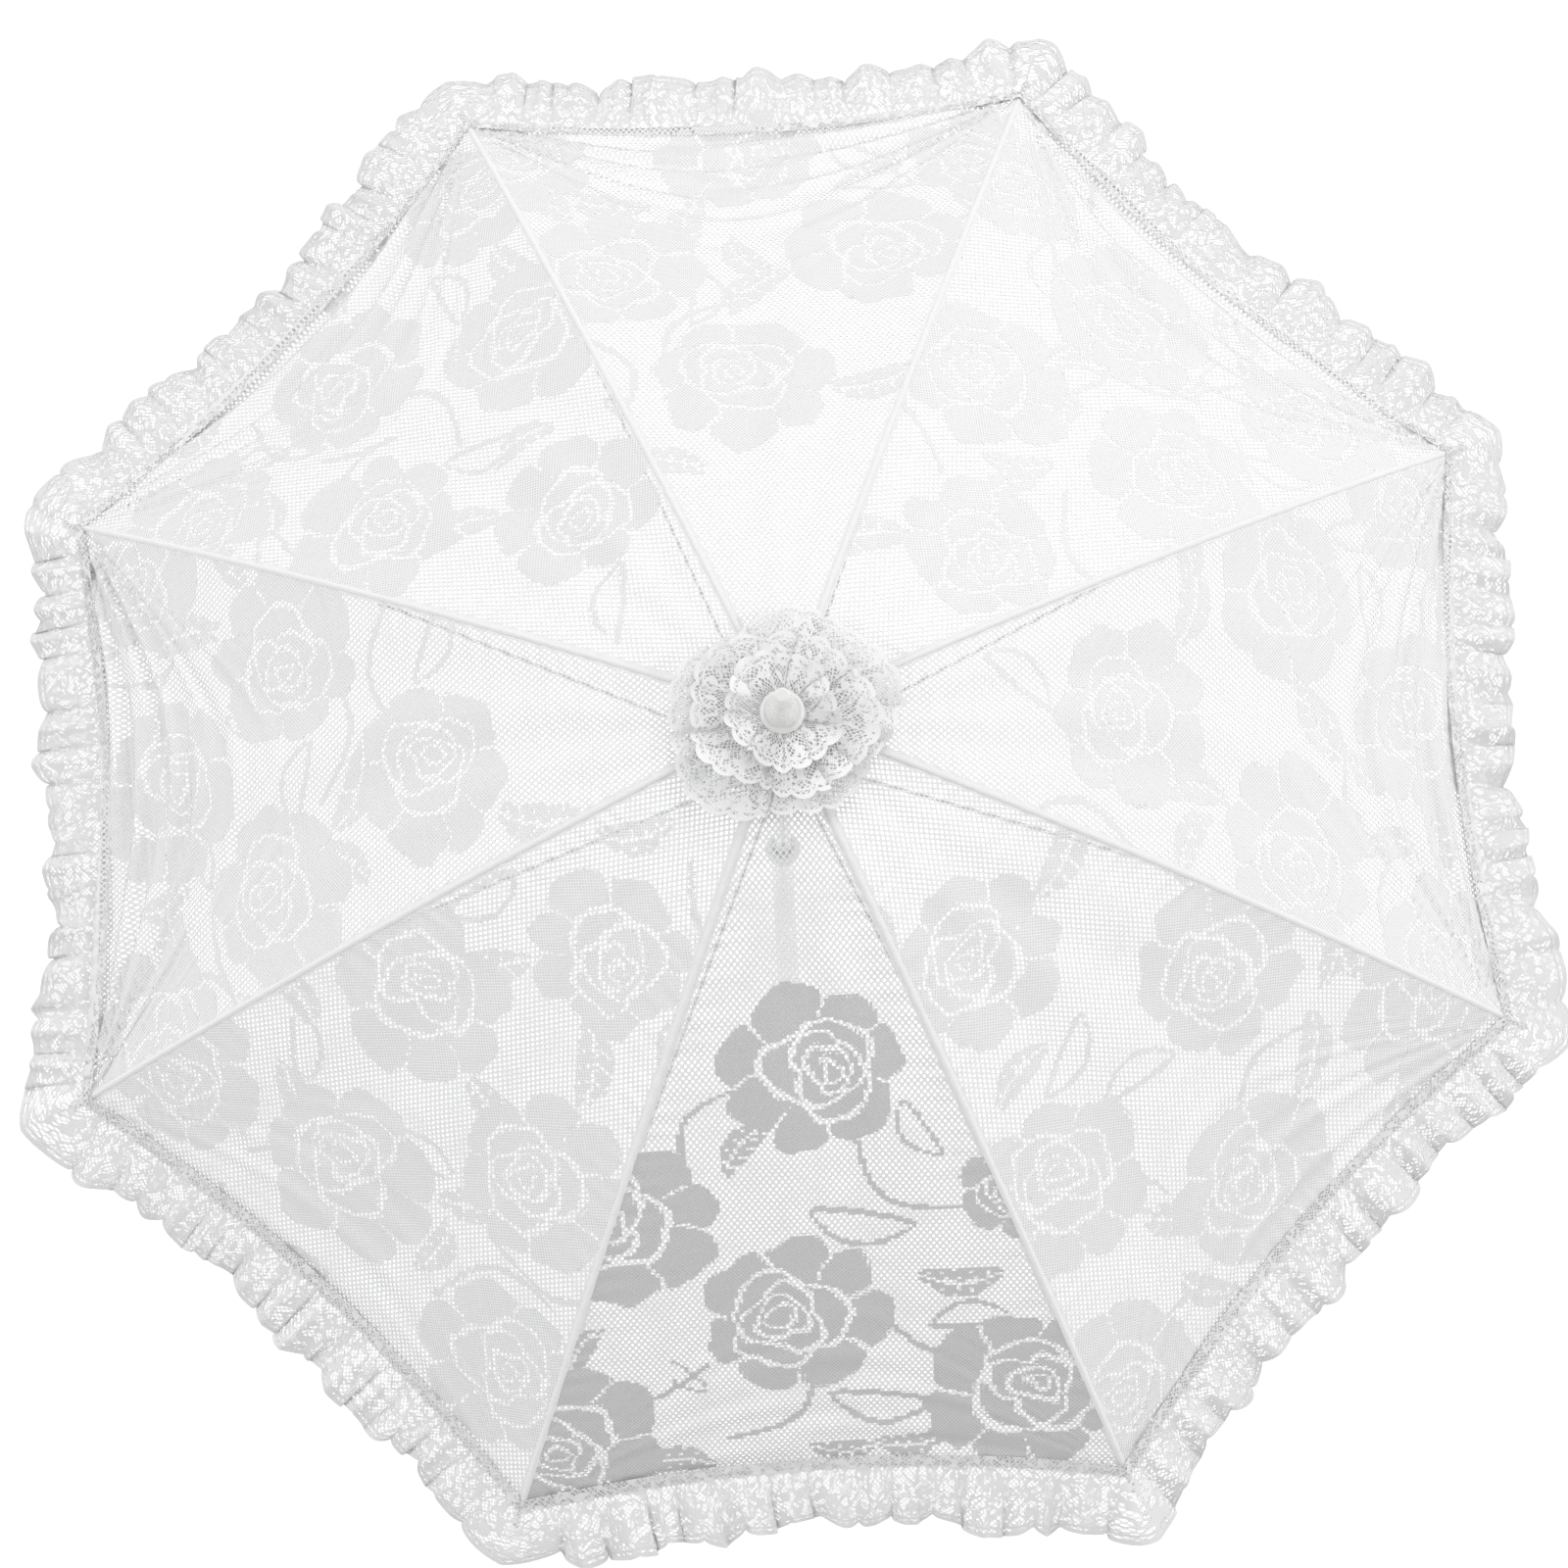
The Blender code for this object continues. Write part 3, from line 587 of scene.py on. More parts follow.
def rose_pattern(sh, u, v):
    """A woven rose in its own frame, where its outer petals reach 1. The fill is everything inside
    seven uneven lobes, pulled about by slow noise. The petal lines are left open: four rings
    round a centre that stands off to one side, each ring three shallow arches, and cuts between
    the outer petals."""
    x, y = woven_place(sh, "rose", u, v)
    point = sh.object_point()
    x = sh.add(x, sh.mul(sh.sub(sh.noise(point, 42.0, 1.0), 0.5), 0.34))
    y = sh.add(y, sh.mul(sh.sub(sh.noise(point, 47.0, 1.0), 0.5), 0.34))
    r = sh.length(x, y)
    angle = sh.math("ARCTAN2", y, x)
    swing = sh.math("COSINE", sh.muladd(angle, 2.0, 0.6))
    uneven = sh.muladd(swing, 0.45, sh.mul(angle, 3.5))
    lobe = sh.absolute(sh.math("COSINE", uneven))
    outer = sh.add(0.74, sh.mul(0.24, sh.math("POWER", lobe, 0.42)))
    fill = sh.less(r, outer)
    rest = sh.left(r)
    qx = sh.add(x, sh.mul(rest, 0.24))
    qy = sh.sub(y, sh.mul(rest, 0.08))
    q = sh.length(qx, qy)
    turn = sh.math("ARCTAN2", qy, qx)
    lines = None
    rings = ((0.12, 0.3, 0.026), (0.25, 1.5, 0.028), (0.39, 0.6, 0.029), (0.55, 2.0, 0.032))
    for radius, start, wide in rings:
        arch = sh.absolute(sh.math("SINE", sh.muladd(turn, 1.5, start)))
        ring = sh.mul(radius, sh.add(0.84, sh.mul(arch, 0.28)))
        line = sh.less(sh.absolute(sh.sub(q, ring)), wide)
        lines = line if lines is None else sh.either(lines, line)
    cuts = sh.both(sh.less(lobe, 0.10), sh.less(0.60, q))
    return sh.both(fill, sh.flip(sh.either(lines, cuts))), fill


def leaf_pattern(sh, u, v):
    """A woven leaf in its own frame, one unit long: a lens bent along a parabola, with an open
    midrib and barbs, or only its outline."""
    x, y = woven_place(sh, "leaf", u, v)
    kind = sh.xyz(sh.attribute("kind").outputs["Color"])[0]
    xx = sh.mul(x, x)
    bent = sh.muladd(xx, 0.55, sh.sub(y, 0.05))
    half = sh.mul(0.20, sh.math("POWER", sh.left(sh.mul(xx, 4.0)), 0.75))
    off = sh.absolute(bent)
    inside = sh.less(off, half)
    vein = sh.less(off, 0.024)
    barbs = sh.less(sh.math("FRACT", sh.add(sh.mul(off, 3.0), sh.mul(x, 6.0))), 0.16)
    solid = sh.both(inside, sh.flip(sh.either(vein, barbs)))
    outline = sh.both(inside, sh.less(sh.sub(half, 0.060), off))
    return sh.either(sh.both(solid, sh.less(kind, 0.5)), sh.both(outline, sh.less(0.5, kind)))


def stem_pattern(sh, u, v):
    """A woven stem in its own frame: a band that follows part of a cosine."""
    x, y = woven_place(sh, "stem", u, v)
    line = sh.sub(y, sh.mul(0.20, sh.math("COSINE", sh.mul(x, math.pi * 1.3))))
    return sh.both(sh.less(sh.absolute(line), 0.022), sh.less(sh.absolute(x), 0.48))


def net_holes(sh, x, y, pitch, share):
    """Diamond holes between yarns that run both ways: 1 in a hole. The two waves' product is small
    along the yarns."""
    a = sh.wave(sh.add(x, y), pitch)
    b = sh.wave(sh.sub(x, y), pitch)
    return sh.ramp(sh.absolute(sh.mul(a, b)), share - 0.06, share + 0.06)


def net_material():
    """Warp-knitted net: diamond holes, woven roses, leaves and stems that close the net, solid
    bands at the seams and the hem, and fine knitted rows."""
    props = settings().parasol_cover
    sh = Shade("white_rose_net")
    x, y, _ = sh.uv("cloth")
    roses, rose_field = rose_pattern(sh, x, y)
    leaves = leaf_pattern(sh, x, y)
    stems = stem_pattern(sh, x, y)
    seam = sh.less(sh.attribute("from_seam").outputs["Fac"], 0.0030)
    hem = sh.less(sh.attribute("from_hem").outputs["Fac"], 0.0030)
    woven = sh.either(roses, sh.both(sh.either(leaves, stems), sh.flip(rose_field)))
    solid = sh.either(woven, sh.either(seam, hem))
    holes = net_holes(sh, sh.mul(x, 1.35), y, props.mesh_pitch, 0.40)
    fine = net_holes(sh, x, y, STITCH[0], 0.55)
    rows = sh.wave(y, 0.0008)
    stitches = sh.mul(sh.wave(x, 0.0009), rows)
    open_net = sh.mul(holes, sh.flip(solid))
    patchy = sh.noise(sh.object_point(), 60.0, 3.0, 0.6)
    alpha = sh.left(sh.mul(open_net, sh.ramp(patchy, 0.2, 0.8, 0.68, 0.86)))
    alpha = sh.math("SUBTRACT", alpha, sh.mul(sh.mul(fine, woven), 0.35), clamp=True)
    yarn = tuple(props.colour)
    # painted shade: the yarn is 4.5% darker where the stitches' wave is low, where the bump dips
    shade = tuple(c * 0.955 for c in yarn)
    # the gore's painted shade, read from the kind attribute
    painted_gore_shade = sh.xyz(sh.attribute("kind").outputs["Color"])[1]
    # painted shade: darkens the yarn towards black by one minus the gore's value, fully on the
    # woven parts and a fifth as much on the open net
    deep = sh.ramp(woven, 0.0, 1.0, 0.20, 1.0)
    colour = sh.mix(sh.ramp(stitches, -0.6, 0.6), shade, yarn)
    colour = sh.mix(sh.mul(sh.flip(painted_gore_shade), deep), colour, (0.0, 0.0, 0.0))
    height = sh.add(sh.mul(stitches, 0.18), sh.mul(sh.flip(holes), 0.35))
    sh.bump(sh.add(sh.mul(solid, 0.55), height), 0.00030, 0.7)
    sh.mat.surface_render_method = "DITHERED"
    return sh.surface(
        Base_Color=colour,
        Alpha=alpha,
        Roughness=sh.ramp(stitches, -1.0, 1.0, 0.92, 0.74),
        Sheen_Weight=0.25,
        Sheen_Roughness=0.5,
    )


# outline is the painted shade on the lace's border, second row and curls; light brightens the whole
# lace
def lace_material(name="white_frill_lace", outline=0.82, light=1.07):
    """Gathered lace: fine net crossed by curling outline threads, which follow the middle value of
    a noise, two rows of small flowers, and a thick scalloped edge."""
    props = settings().parasol_frill
    sh = Shade(name)
    x = sh.uv("cloth")[0]
    edge = sh.attribute("from_edge").outputs["Fac"]
    place = sh.join(sh.mul(x, 1.4), edge)
    curls = None
    for scale, wide in ((115.0, 0.036), (190.0, 0.026)):
        line = sh.less(sh.absolute(sh.sub(sh.noise(place, scale, 1.0), 0.5)), wide)
        curls = line if curls is None else sh.either(curls, line)
    cell = sh.mul(sh.sub(sh.cycle(x, LACE_REPEAT), 0.5), LACE_REPEAT * 1.4)
    flowers = None
    for row, size, petals in ((0.0080, 0.0036, 2.5), (0.0205, 0.0046, 3.0)):
        fy = sh.sub(edge, row)
        r = sh.length(cell, fy)
        petal = sh.absolute(sh.math("COSINE", sh.mul(sh.math("ARCTAN2", fy, cell), petals)))
        reach = sh.mul(size, sh.add(0.45, sh.mul(petal, 0.55)))
        flower = sh.both(sh.less(r, reach), sh.less(size * 0.22, r))
        flowers = flower if flowers is None else sh.either(flowers, flower)
    border = sh.less(edge, 0.0020)
    second = sh.less(sh.absolute(sh.sub(edge, 0.0040)), 0.0005)
    solid = sh.either(sh.either(border, second), sh.either(flowers, curls))
    holes = net_holes(sh, x, edge, 0.0024, 0.34)
    alpha = sh.left(sh.mul(sh.mul(holes, sh.flip(solid)), 0.92))
    thread = sh.mul(sh.wave(x, 0.0006), sh.wave(edge, 0.0006))
    lace = tuple(c * light for c in props.colour)
    # painted shade: the lace is 7% darker where the threads' wave is low, where the bump dips
    colour = sh.mix(sh.ramp(thread, -0.7, 0.7), tuple(c * 0.93 for c in lace), lace)
    # the curls stop at the stitched line, where the heading begins
    outside = sh.less(edge, props.width)
    painted_shade_threads = sh.either(sh.either(border, second), sh.mul(sh.both(curls, outside), 0.75))
    # painted shade: the border, the second row and the curls outside the heading are darkened to
    # outline times the lace
    colour = sh.mix(painted_shade_threads, colour, tuple(c * outline for c in lace))
    sh.bump(sh.add(sh.mul(solid, 0.8), sh.mul(thread, 0.25)), 0.00040, 0.9)
    sh.mat.surface_render_method = "DITHERED"
    gloss = sh.ramp(thread, -1.0, 1.0, 0.9, 0.72)
    return sh.surface(
        Base_Color=colour, Alpha=alpha, Roughness=gloss, Sheen_Weight=0.2, Sheen_Roughness=0.5
    )


def tape_material():
    """Seam binding: fine twill with two rows of stitches."""
    sh = Shade("white_seam_tape")
    x, y, _ = sh.uv("cloth")
    twill = sh.math("SINE", sh.mul(sh.add(x, y), 2 * math.pi / 0.0009))
    row = sh.less(sh.absolute(sh.sub(sh.absolute(x), 0.0011)), 0.00025)
    dash = sh.less(sh.cycle(y, 0.0026), 0.72)
    stitch = sh.both(row, dash)
    yarn = tuple(settings().parasol_cover.colour)
    # painted shade: the tape is 5% darker in the twill's troughs, where the bump dips
    tape = sh.mix(sh.ramp(twill, -0.8, 0.8), tuple(c * 0.95 for c in yarn), yarn)
    colour = sh.mix(stitch, tape, tuple(min(1.0, c * 1.03) for c in yarn))
    sh.bump(sh.add(sh.mul(twill, 0.12), sh.mul(stitch, 0.9)), 0.00025, 0.8)
    gloss = sh.ramp(twill, -1.0, 1.0, 0.85, 0.7)
    return sh.surface(Base_Color=colour, Roughness=gloss, Sheen_Weight=0.2)


def plastic_material(name, colour, roughness):
    """Moulded plastic: a faint cloud in the gloss and a very shallow ripple."""
    sh = Shade(name)
    p = sh.object_point()
    cloud = sh.noise(p, 90.0, 3.0)
    fine = sh.noise(p, 900.0, 2.0)
    sh.bump(sh.add(sh.mul(cloud, 0.6), sh.mul(fine, 0.4)), 0.00006, 0.5)
    base = sh.mix(sh.ramp(cloud, 0.3, 0.7), tuple(c * 0.975 for c in colour), colour)
    gloss = sh.ramp(fine, 0.3, 0.7, roughness * 0.85, roughness * 1.2)
    return sh.surface(
        Base_Color=base, Roughness=gloss, IOR=1.49, Coat_Weight=0.15, Coat_Roughness=0.15
    )


def steel_material(name, colour, roughness, drawn=0.0):
    """Plated steel: fine draw lines along Z where asked for, and a mottled gloss."""
    sh = Shade(name)
    p = sh.object_point()
    x, y, z = sh.xyz(p)
    if drawn:
        lines = sh.noise(sh.join(x, y, sh.mul(z, 0.02)), drawn, 2.0)
    else:
        lines = sh.noise(p, 700.0, 3.0)
    wear = sh.noise(p, 70.0, 4.0, 0.65)
    base = sh.mix(sh.ramp(wear, 0.42, 0.72), colour, tuple(c * 0.86 for c in colour))
    sh.bump(lines, 0.00004, 0.6)
    gloss = sh.ramp(lines, 0.25, 0.75, roughness * 0.8, roughness * 1.35)
    return sh.surface(Base_Color=base, Metallic=1.0, Roughness=gloss)


# Pieces
def finish_piece(ob, mat, body, nodes=(), squash_rib=None):
    """Give a piece its material, hang it on its body and let it stand for its frame nodes. A piece
    of cloth over a rib, given squash_rib, gets its own copy of its mesh."""
    ob.data.materials.clear()
    ob.data.materials.append(mat)
    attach(ob, body)
    if nodes:
        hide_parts(*nodes)
    if squash_rib is not None:
        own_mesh(ob)
    return ob


class PARASOL_OT_seams(bpy.types.Operator):
    """Make the eight bound seams that lie on the cover over the ribs"""

    bl_idname = "parasol.make_seams"
    bl_label = "Seams"

    def execute(self, context):
        mat = tape_material()
        for k in range(1, RIBS + 1):
            seam_tape(k, mat)
        return {"FINISHED"}


def seam_tape(k, mat):
    """A tape over rib k: across it a flat arch, 3.6 mm wide and 0.5 mm high, carried along the
    cover's line over the rib with short puckers."""
    along = np.linspace(0.030, 0.998, 260)[:, None]
    across = np.linspace(-1, 1, 9)[None, :]
    s = COVER_START + (COVER_END - COVER_START) * along
    r, _ = cover_over_rib(s)
    half = 0.0018
    ripple = 0.00012 * np.sin(2 * math.pi * s / PUCKER_PITCH + k)
    lift = 0.00030 + 0.00050 * (1 - across**2) + ripple * (1 - across**4)
    off = across * half * (1 + 0.05 * np.sin(math.pi * s / PUCKER_PITCH))
    u = off / (2 * r * abs(math.sin(gore_angle(k - 1, 1) / 2)))
    base = cover_points(k - 1, u * np.ones_like(s), along * np.ones_like(u))
    a = RIB_START_SLOPE + np.maximum(s, 0) / RIB_BEND_RADIUS
    az = AZIMUTHS[k - 1]
    up = np.stack([np.sin(a) * math.cos(az), np.sin(a) * math.sin(az), np.cos(a)], -1)
    points = base + up * lift[..., None]
    ob = grid_object(f"seam_tape_{k}", points)
    xy = np.stack([off + 0 * s, s + 0 * off], -1)
    fill_layer(ob.data.uv_layers.new(name="cloth"), "uv", corners_of(xy))
    tape = ob.modifiers.new("Thickness", "SOLIDIFY")
    tape.thickness = TRIM_THICKNESS
    tape.offset = -1.0
    return finish_piece(ob, mat, f"rib_{k}")


class PARASOL_OT_cover(bpy.types.Operator):
    """Make the net cover: one continuous curved sheet in eight parts that meet in the middle of
    each gore"""

    bl_idname = "parasol.make_cover"
    bl_label = "Net cover"

    def execute(self, context):
        props = settings().parasol_cover
        mat = net_material()
        for k in range(1, RIBS + 1):
            cover_part(k, mat, props)
        return {"FINISHED"}


def gore_place(k, u, s, side):
    """Where a point lies on the flat cut of its gore: across from the gore's middle, and along from
    the top. The gore's width is the chord between its ribs."""
    turn = abs(gore_angle(k, side))
    r, _ = cover_over_rib(s)
    share = np.abs(u)
    across = np.where(side > 0, share, 1 - share)
    return (across - 0.5) * 2 * r * math.sin(turn / 2), s


def cover_part(k, mat, props):
    columns, rows = props.columns // 2 * 2, props.rows
    u, v = np.meshgrid(np.linspace(-0.5, 0.5, columns + 1), np.linspace(0, 1, rows + 1) ** 0.92)

    def at(du, dv):
        return cover_points(k - 1, u + du, v + dv, props.fold, props.pucker)

    points = at(0, 0)
    step = 0.002
    normals = np.cross(at(0, step) - at(0, -step), at(step, 0) - at(-step, 0))
    normals /= np.linalg.norm(normals, axis=-1, keepdims=True)
    s = cover_length(u, v)
    right = np.repeat(np.tile(np.arange(columns), rows) >= columns // 2, 4)[:, None]
    xy = [corners_of(np.stack(gore_place(k - 1, u, s, side), -1)) for side in (1, -1)]
    xy = np.where(right, *xy)
    gores = {1: (k - 1) % RIBS, -1: (k - 2) % RIBS}
    corners = {}
    kinds = (("rose", roses_of, None), ("leaf", leaves_of, 0.36), ("stem", stems_of, 0.34))
    for name, source, half in kinds:
        one, kind_one = motif_frame(xy, source(gores[1]), half)
        two, kind_two = motif_frame(xy, source(gores[-1]), half)
        corners[name] = np.where(right, one, two)
        if name == "leaf":
            kind = np.where(right[:, 0], kind_one, kind_two)
    # the painted shade of each corner's gore, carried in the kind attribute's second and third
    # channels
    painted_gore_shade = np.where(right[:, 0], GORE_PAINTED_SHADE[gores[1]], GORE_PAINTED_SHADE[gores[-1]])
    corners["kind"] = np.stack([kind, painted_gore_shade, painted_gore_shade, np.ones_like(painted_gore_shade)], 1)
    r, _ = cover_over_rib(s)
    values = {"from_seam": np.abs(u) * 2 * r * math.sin(math.pi / RIBS), "from_hem": hem_at(u) - s}
    ob = cloth_object(f"net_cover_{k}", points, normals, props.thickness, xy, values, corners)
    finish_piece(ob, mat, f"rib_{k}", (f"cover_{k}",), squash_rib=k)


def round_the_hem(steps, inside):
    """A closed line round the cover, a given distance inside the hem."""
    u = np.linspace(-0.5, 0.5, steps, endpoint=False)
    v = np.full_like(u, 1 - inside / COVER_END)
    return np.concatenate([cover_points(k, u, v) for k in range(RIBS)])


def hem_line(steps):
    """The whole hem as one closed line: its length so far, its direction, and the outward
    direction in plan, softened by a running mean so that the frill fans round the corners."""
    points = round_the_hem(steps, 0.0)
    step = np.linalg.norm(np.roll(points, -1, 0) - points, axis=1)
    length = np.concatenate([[0.0], np.cumsum(step)])
    tangent = np.roll(points, -1, 0) - np.roll(points, 1, 0)
    tangent = tangent / np.linalg.norm(tangent, axis=1, keepdims=True)
    out = np.stack([tangent[:, 1], -tangent[:, 0], np.zeros(len(points))], 1)
    reach = max(2, int(0.016 / step.mean()))
    window = np.hanning(2 * reach + 3)[1:-1]
    padded = np.concatenate([out[-reach:], out, out[:reach]])
    out = np.stack([np.convolve(padded[:, i], window / window.sum(), "valid") for i in range(3)], 1)
    out = out / np.linalg.norm(out, axis=1, keepdims=True)
    return length, tangent, out


def frill_sheet(line, length, tangent, out, total, props, w):
    """The frill beside a line. Across it, w runs from the heading, which lies on the cover inside
    the hem, to the outer edge. Each fold is a cosine of the length along the line, whose phase
    drifts, and its height grows away from the stitched line. The cloth also leans along the line
    by the sine of the phase, so that the folds overhang, and its outer edge is a row of
    scallops, each an arched sine."""
    turn = 2 * math.pi * length / total
    phase = props.flutes * RIBS * turn + 1.6 * np.sin(7 * turn + 0.6)
    phase = phase + 1.3 * np.sin(19 * turn + 2.0) + 0.9 * np.sin(43 * turn)
    size = 1 + 0.40 * np.sin(11 * turn + 1.0) + 0.30 * np.sin(27 * turn + 0.3)
    size = size + 0.22 * np.sin(59 * turn)
    away = np.clip(np.abs(w) / props.width, 0, 1)
    edge = np.clip(w / props.width, 0, 1)
    drift = 0.7 * np.sin(23 * turn) + 0.6 * np.sin(9 * turn)
    arch = np.abs(np.sin(math.pi * props.scallops * RIBS * length / total + drift))
    deep = 1 + 0.35 * np.sin(29 * turn + 0.9) + 0.30 * np.sin(53 * turn + 2.2)
    reach = 0.0040 * deep * (np.sqrt(arch) - 0.75)
    reach = reach + 0.0028 * np.sin(13 * turn + 0.4) + 0.0022 * np.sin(37 * turn + 1.9)
    reach = reach + 0.0014 * np.sin(71 * turn)
    tall = props.height * np.maximum(size, 0.25) * away**0.85
    bend = phase + 0.9 * away * np.sin(5 * turn + 1.0)
    wave = np.cos(bend) + 0.35 * np.cos(2 * bend + 1.3) + 0.45 * np.cos(0.43 * bend + 0.5)
    rise = np.where(w >= 0, tall * wave, 0.35 * tall * (1 + np.cos(bend)))
    outward = np.where(w >= 0, w * (1 - 0.08 * away) + reach * edge**2, 0.0)
    lean = tall * (0.55 * np.sin(bend) - 0.25 * np.sin(2 * bend))
    z = rise - 0.0052 * edge**2 + 0.0011
    up = np.array([0, 0, 1.0])
    return line + out * outward[..., None] + tangent * lean[..., None] + up * z[..., None]


class PARASOL_OT_frill(bpy.types.Operator):
    """Make the gathered lace frill round the hem, in eight parts that ride on the ribs"""

    bl_idname = "parasol.make_frill"
    bl_label = "Hem frill"

    def execute(self, context):
        props = settings().parasol_frill
        mat = lace_material()
        steps = 300
        length, tangent, out = hem_line(steps)
        total = float(length[-1])
        run = length[:-1]
        inside = -props.heading * np.array([1.0, 0.62, 0.3])
        w = np.concatenate([inside, props.width * np.linspace(0, 1, 17)])
        ones = np.ones_like(w)[:, None]
        base = np.stack([round_the_hem(steps, max(0.0, -a)) for a in w])
        across = w[:, None] + 0 * run[None]
        ring = frill_sheet(base, run[None] * ones, tangent[None], out[None], total, props, across)
        normals = grid_normals(ring, round_columns=True)
        for k in range(1, RIBS + 1):
            i = np.arange((k - 1) * steps, k * steps + 1) % (steps * RIBS)
            points = ring[:, i]
            along = (k - 1) * total / RIBS + np.linspace(0, total / RIBS, len(i))
            cloth = np.stack([along[None] * ones, w[:, None] + 0 * along[None]], -1)
            values = {"from_edge": (props.width - w)[:, None] + 0 * along[None]}
            uv = corners_of(cloth)
            ob = cloth_object(f"hem_frill_{k}", points, normals[:, i], TRIM_THICKNESS, uv, values)
            finish_piece(ob, mat, f"rib_{k}", (f"frill_{k}",), squash_rib=k)
        return {"FINISHED"}


def rosette_ring(name, inner, outer, flutes, lift, height, seed):
    """A gathered ring: radius and height are functions of the angle and of the way out from the
    stitched middle. It lies on the cover's top and rises by lift times the way out to the power
    1.3. Its folds are a cosine of the angle with a drifting phase that turns as it goes out,
    they lean over as they grow, and the outer edge is a row of scallops on a slow wave."""
    angle = np.linspace(0, 2 * math.pi, 480, endpoint=False)[None, :]
    w = np.linspace(0, 1, 30)[:, None]
    phase = flutes * angle + 1.1 * np.sin(2 * angle + seed) + 0.8 * np.sin(5 * angle + 2 * seed)
    phase = phase + 1.5 * w * np.sin(3 * angle + 1.4 * seed)
    size = 1 + 0.45 * np.sin(3 * angle + seed) + 0.3 * np.sin(4 * angle + 3 * seed)
    tall = height * np.maximum(size, 0.2) * w**0.9
    scallop = 0.0030 * (np.sqrt(np.abs(np.sin(flutes * 1.5 * angle + seed))) - 0.7) * w**3
    oval = 1 + 0.10 * np.sin(2 * angle + seed) + 0.06 * np.sin(5 * angle + seed)
    r = inner + (outer - inner) * w * oval + scallop
    lean = tall * (0.75 * np.sin(phase) - 0.35 * np.sin(2 * phase)) / np.maximum(r, 1e-4)
    s = np.linspace(-0.01, 0.09, 400)
    top_r, top_z = cover_over_rib(s)
    wave = 0.75 + 0.7 * np.cos(phase) + 0.2 * np.cos(2 * phase + seed)
    z = np.interp(r, top_r, top_z) + 0.0016 + lift * w**1.3 + tall * wave
    a = angle + lean
    points = np.stack([r * np.cos(a), r * np.sin(a), z], -1)
    columns = angle.shape[1]
    run = np.linspace(0, 2 * math.pi, columns + 1)[None, :] * outer
    grid = np.stack([run + 0 * w, w * (outer - inner) + 0 * run], -1)
    # the column that closes the ring is read at a full turn, not at 0
    uv = np.stack([grid[:-1, :-1], grid[1:, :-1], grid[1:, 1:], grid[:-1, 1:]], 2).reshape(-1, 2)
    values = {"from_edge": (1 - w) * (outer - inner) + 0 * angle}
    normals = grid_normals(points, True)
    ob = cloth_object(name, points, normals, TRIM_THICKNESS, uv, values, round_columns=True)
    return ob, points


class PARASOL_OT_rosette(bpy.types.Operator):
    """Make the three gathered rings of the rosette under the cap"""

    bl_idname = "parasol.make_rosette"
    bl_label = "Rosette"

    def execute(self, context):
        # the rosette's lace is painted lighter than the frill's, with no painted shade on its
        # border and curls, to lift the shade in its folds
        mat = lace_material("white_rosette_lace", outline=1.0, light=1.08)
        big = settings().parasol_frill.rosette_radius
        for n, (part, inner, outer, flutes, lift, height, seed) in enumerate(
            (
                ("lower", 0.0068, big, 9, 0.002, 0.0020, 0.7),
                ("middle", 0.0067, big * 0.80, 8, 0.006, 0.0022, 2.1),
                ("upper", 0.0066, big * 0.52, 6, 0.009, 0.0022, 3.6),
            )
        ):
            ob, points = rosette_ring(f"rosette_{part}", inner, outer, flutes, lift, height, seed)
            finish_piece(ob, mat, "shaft", () if n else ("rosette",))
        return {"FINISHED"}


def swept_bar(name, path, radius, sides=40):
    """A round bar along a path in the plane x = 0: circles square to the path, closed at both ends
    by circles of no radius."""
    tangent = np.gradient(path, axis=0)
    tangent /= np.linalg.norm(tangent, axis=1, keepdims=True)
    across = np.array([1.0, 0.0, 0.0])
    normal = np.cross(tangent, across)
    a = np.linspace(0, 2 * math.pi, sides, endpoint=False)
    a = a[None, :, None]
    ring = across[None, None] * np.cos(a) + normal[:, None] * np.sin(a)
    points = path[:, None] + ring * radius[:, None, None]
    return grid_object(name, points, closed=True)


class PARASOL_OT_handle(bpy.types.Operator):
    """Make the white crook handle"""

    bl_idname = "parasol.make_handle"
    bl_label = "Crook handle"

    def execute(self, context):
        props = settings().parasol_handle
        low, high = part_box("crook_handle")
        bar = props.grip_radius
        bend = (-low.y - bar) / 2
        centre = low.z + bar + bend
        cap_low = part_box("handle_end_cap")[0].z
        straight = np.linspace(high.z, centre, 60)
        arc = np.linspace(0, math.pi, 90)[1:]
        rise = np.linspace(centre, cap_low - 0.0003, 14)[1:]
        y = np.concatenate([0 * straight, -bend + bend * np.cos(arc), -2 * bend + 0 * rise])
        z = np.concatenate([straight, centre - bend * np.sin(arc), rise])
        path = np.stack([0 * y, y, z], 1)
        along = np.concatenate([[0], np.cumsum(np.linalg.norm(np.diff(path, axis=0), axis=1))])
        # the grip narrows towards the collar and thins by 3% about 50 mm down
        narrow = 0.86 + 0.14 * (1 - np.exp(-along / 0.006))
        radius = bar * narrow * (1 - 0.03 * np.exp(-(((along - 0.05) / 0.02) ** 2)))
        # a circle of no radius, a hair away, closes each end
        hair = [0, 0, 1e-5]
        path = np.concatenate([path[:1] + hair, path, path[-1:] + hair])
        radius = np.concatenate([[0.0], radius, [0.0]])
        ob = swept_bar("crook_grip", path, radius)
        mat = plastic_material("white_moulded_plastic", tuple(props.plastic), 0.30)
        ob.data.set_sharp_from_angle(angle=math.radians(50))
        finish_piece(ob, mat, "shaft", ("crook_handle",))
        return {"FINISHED"}


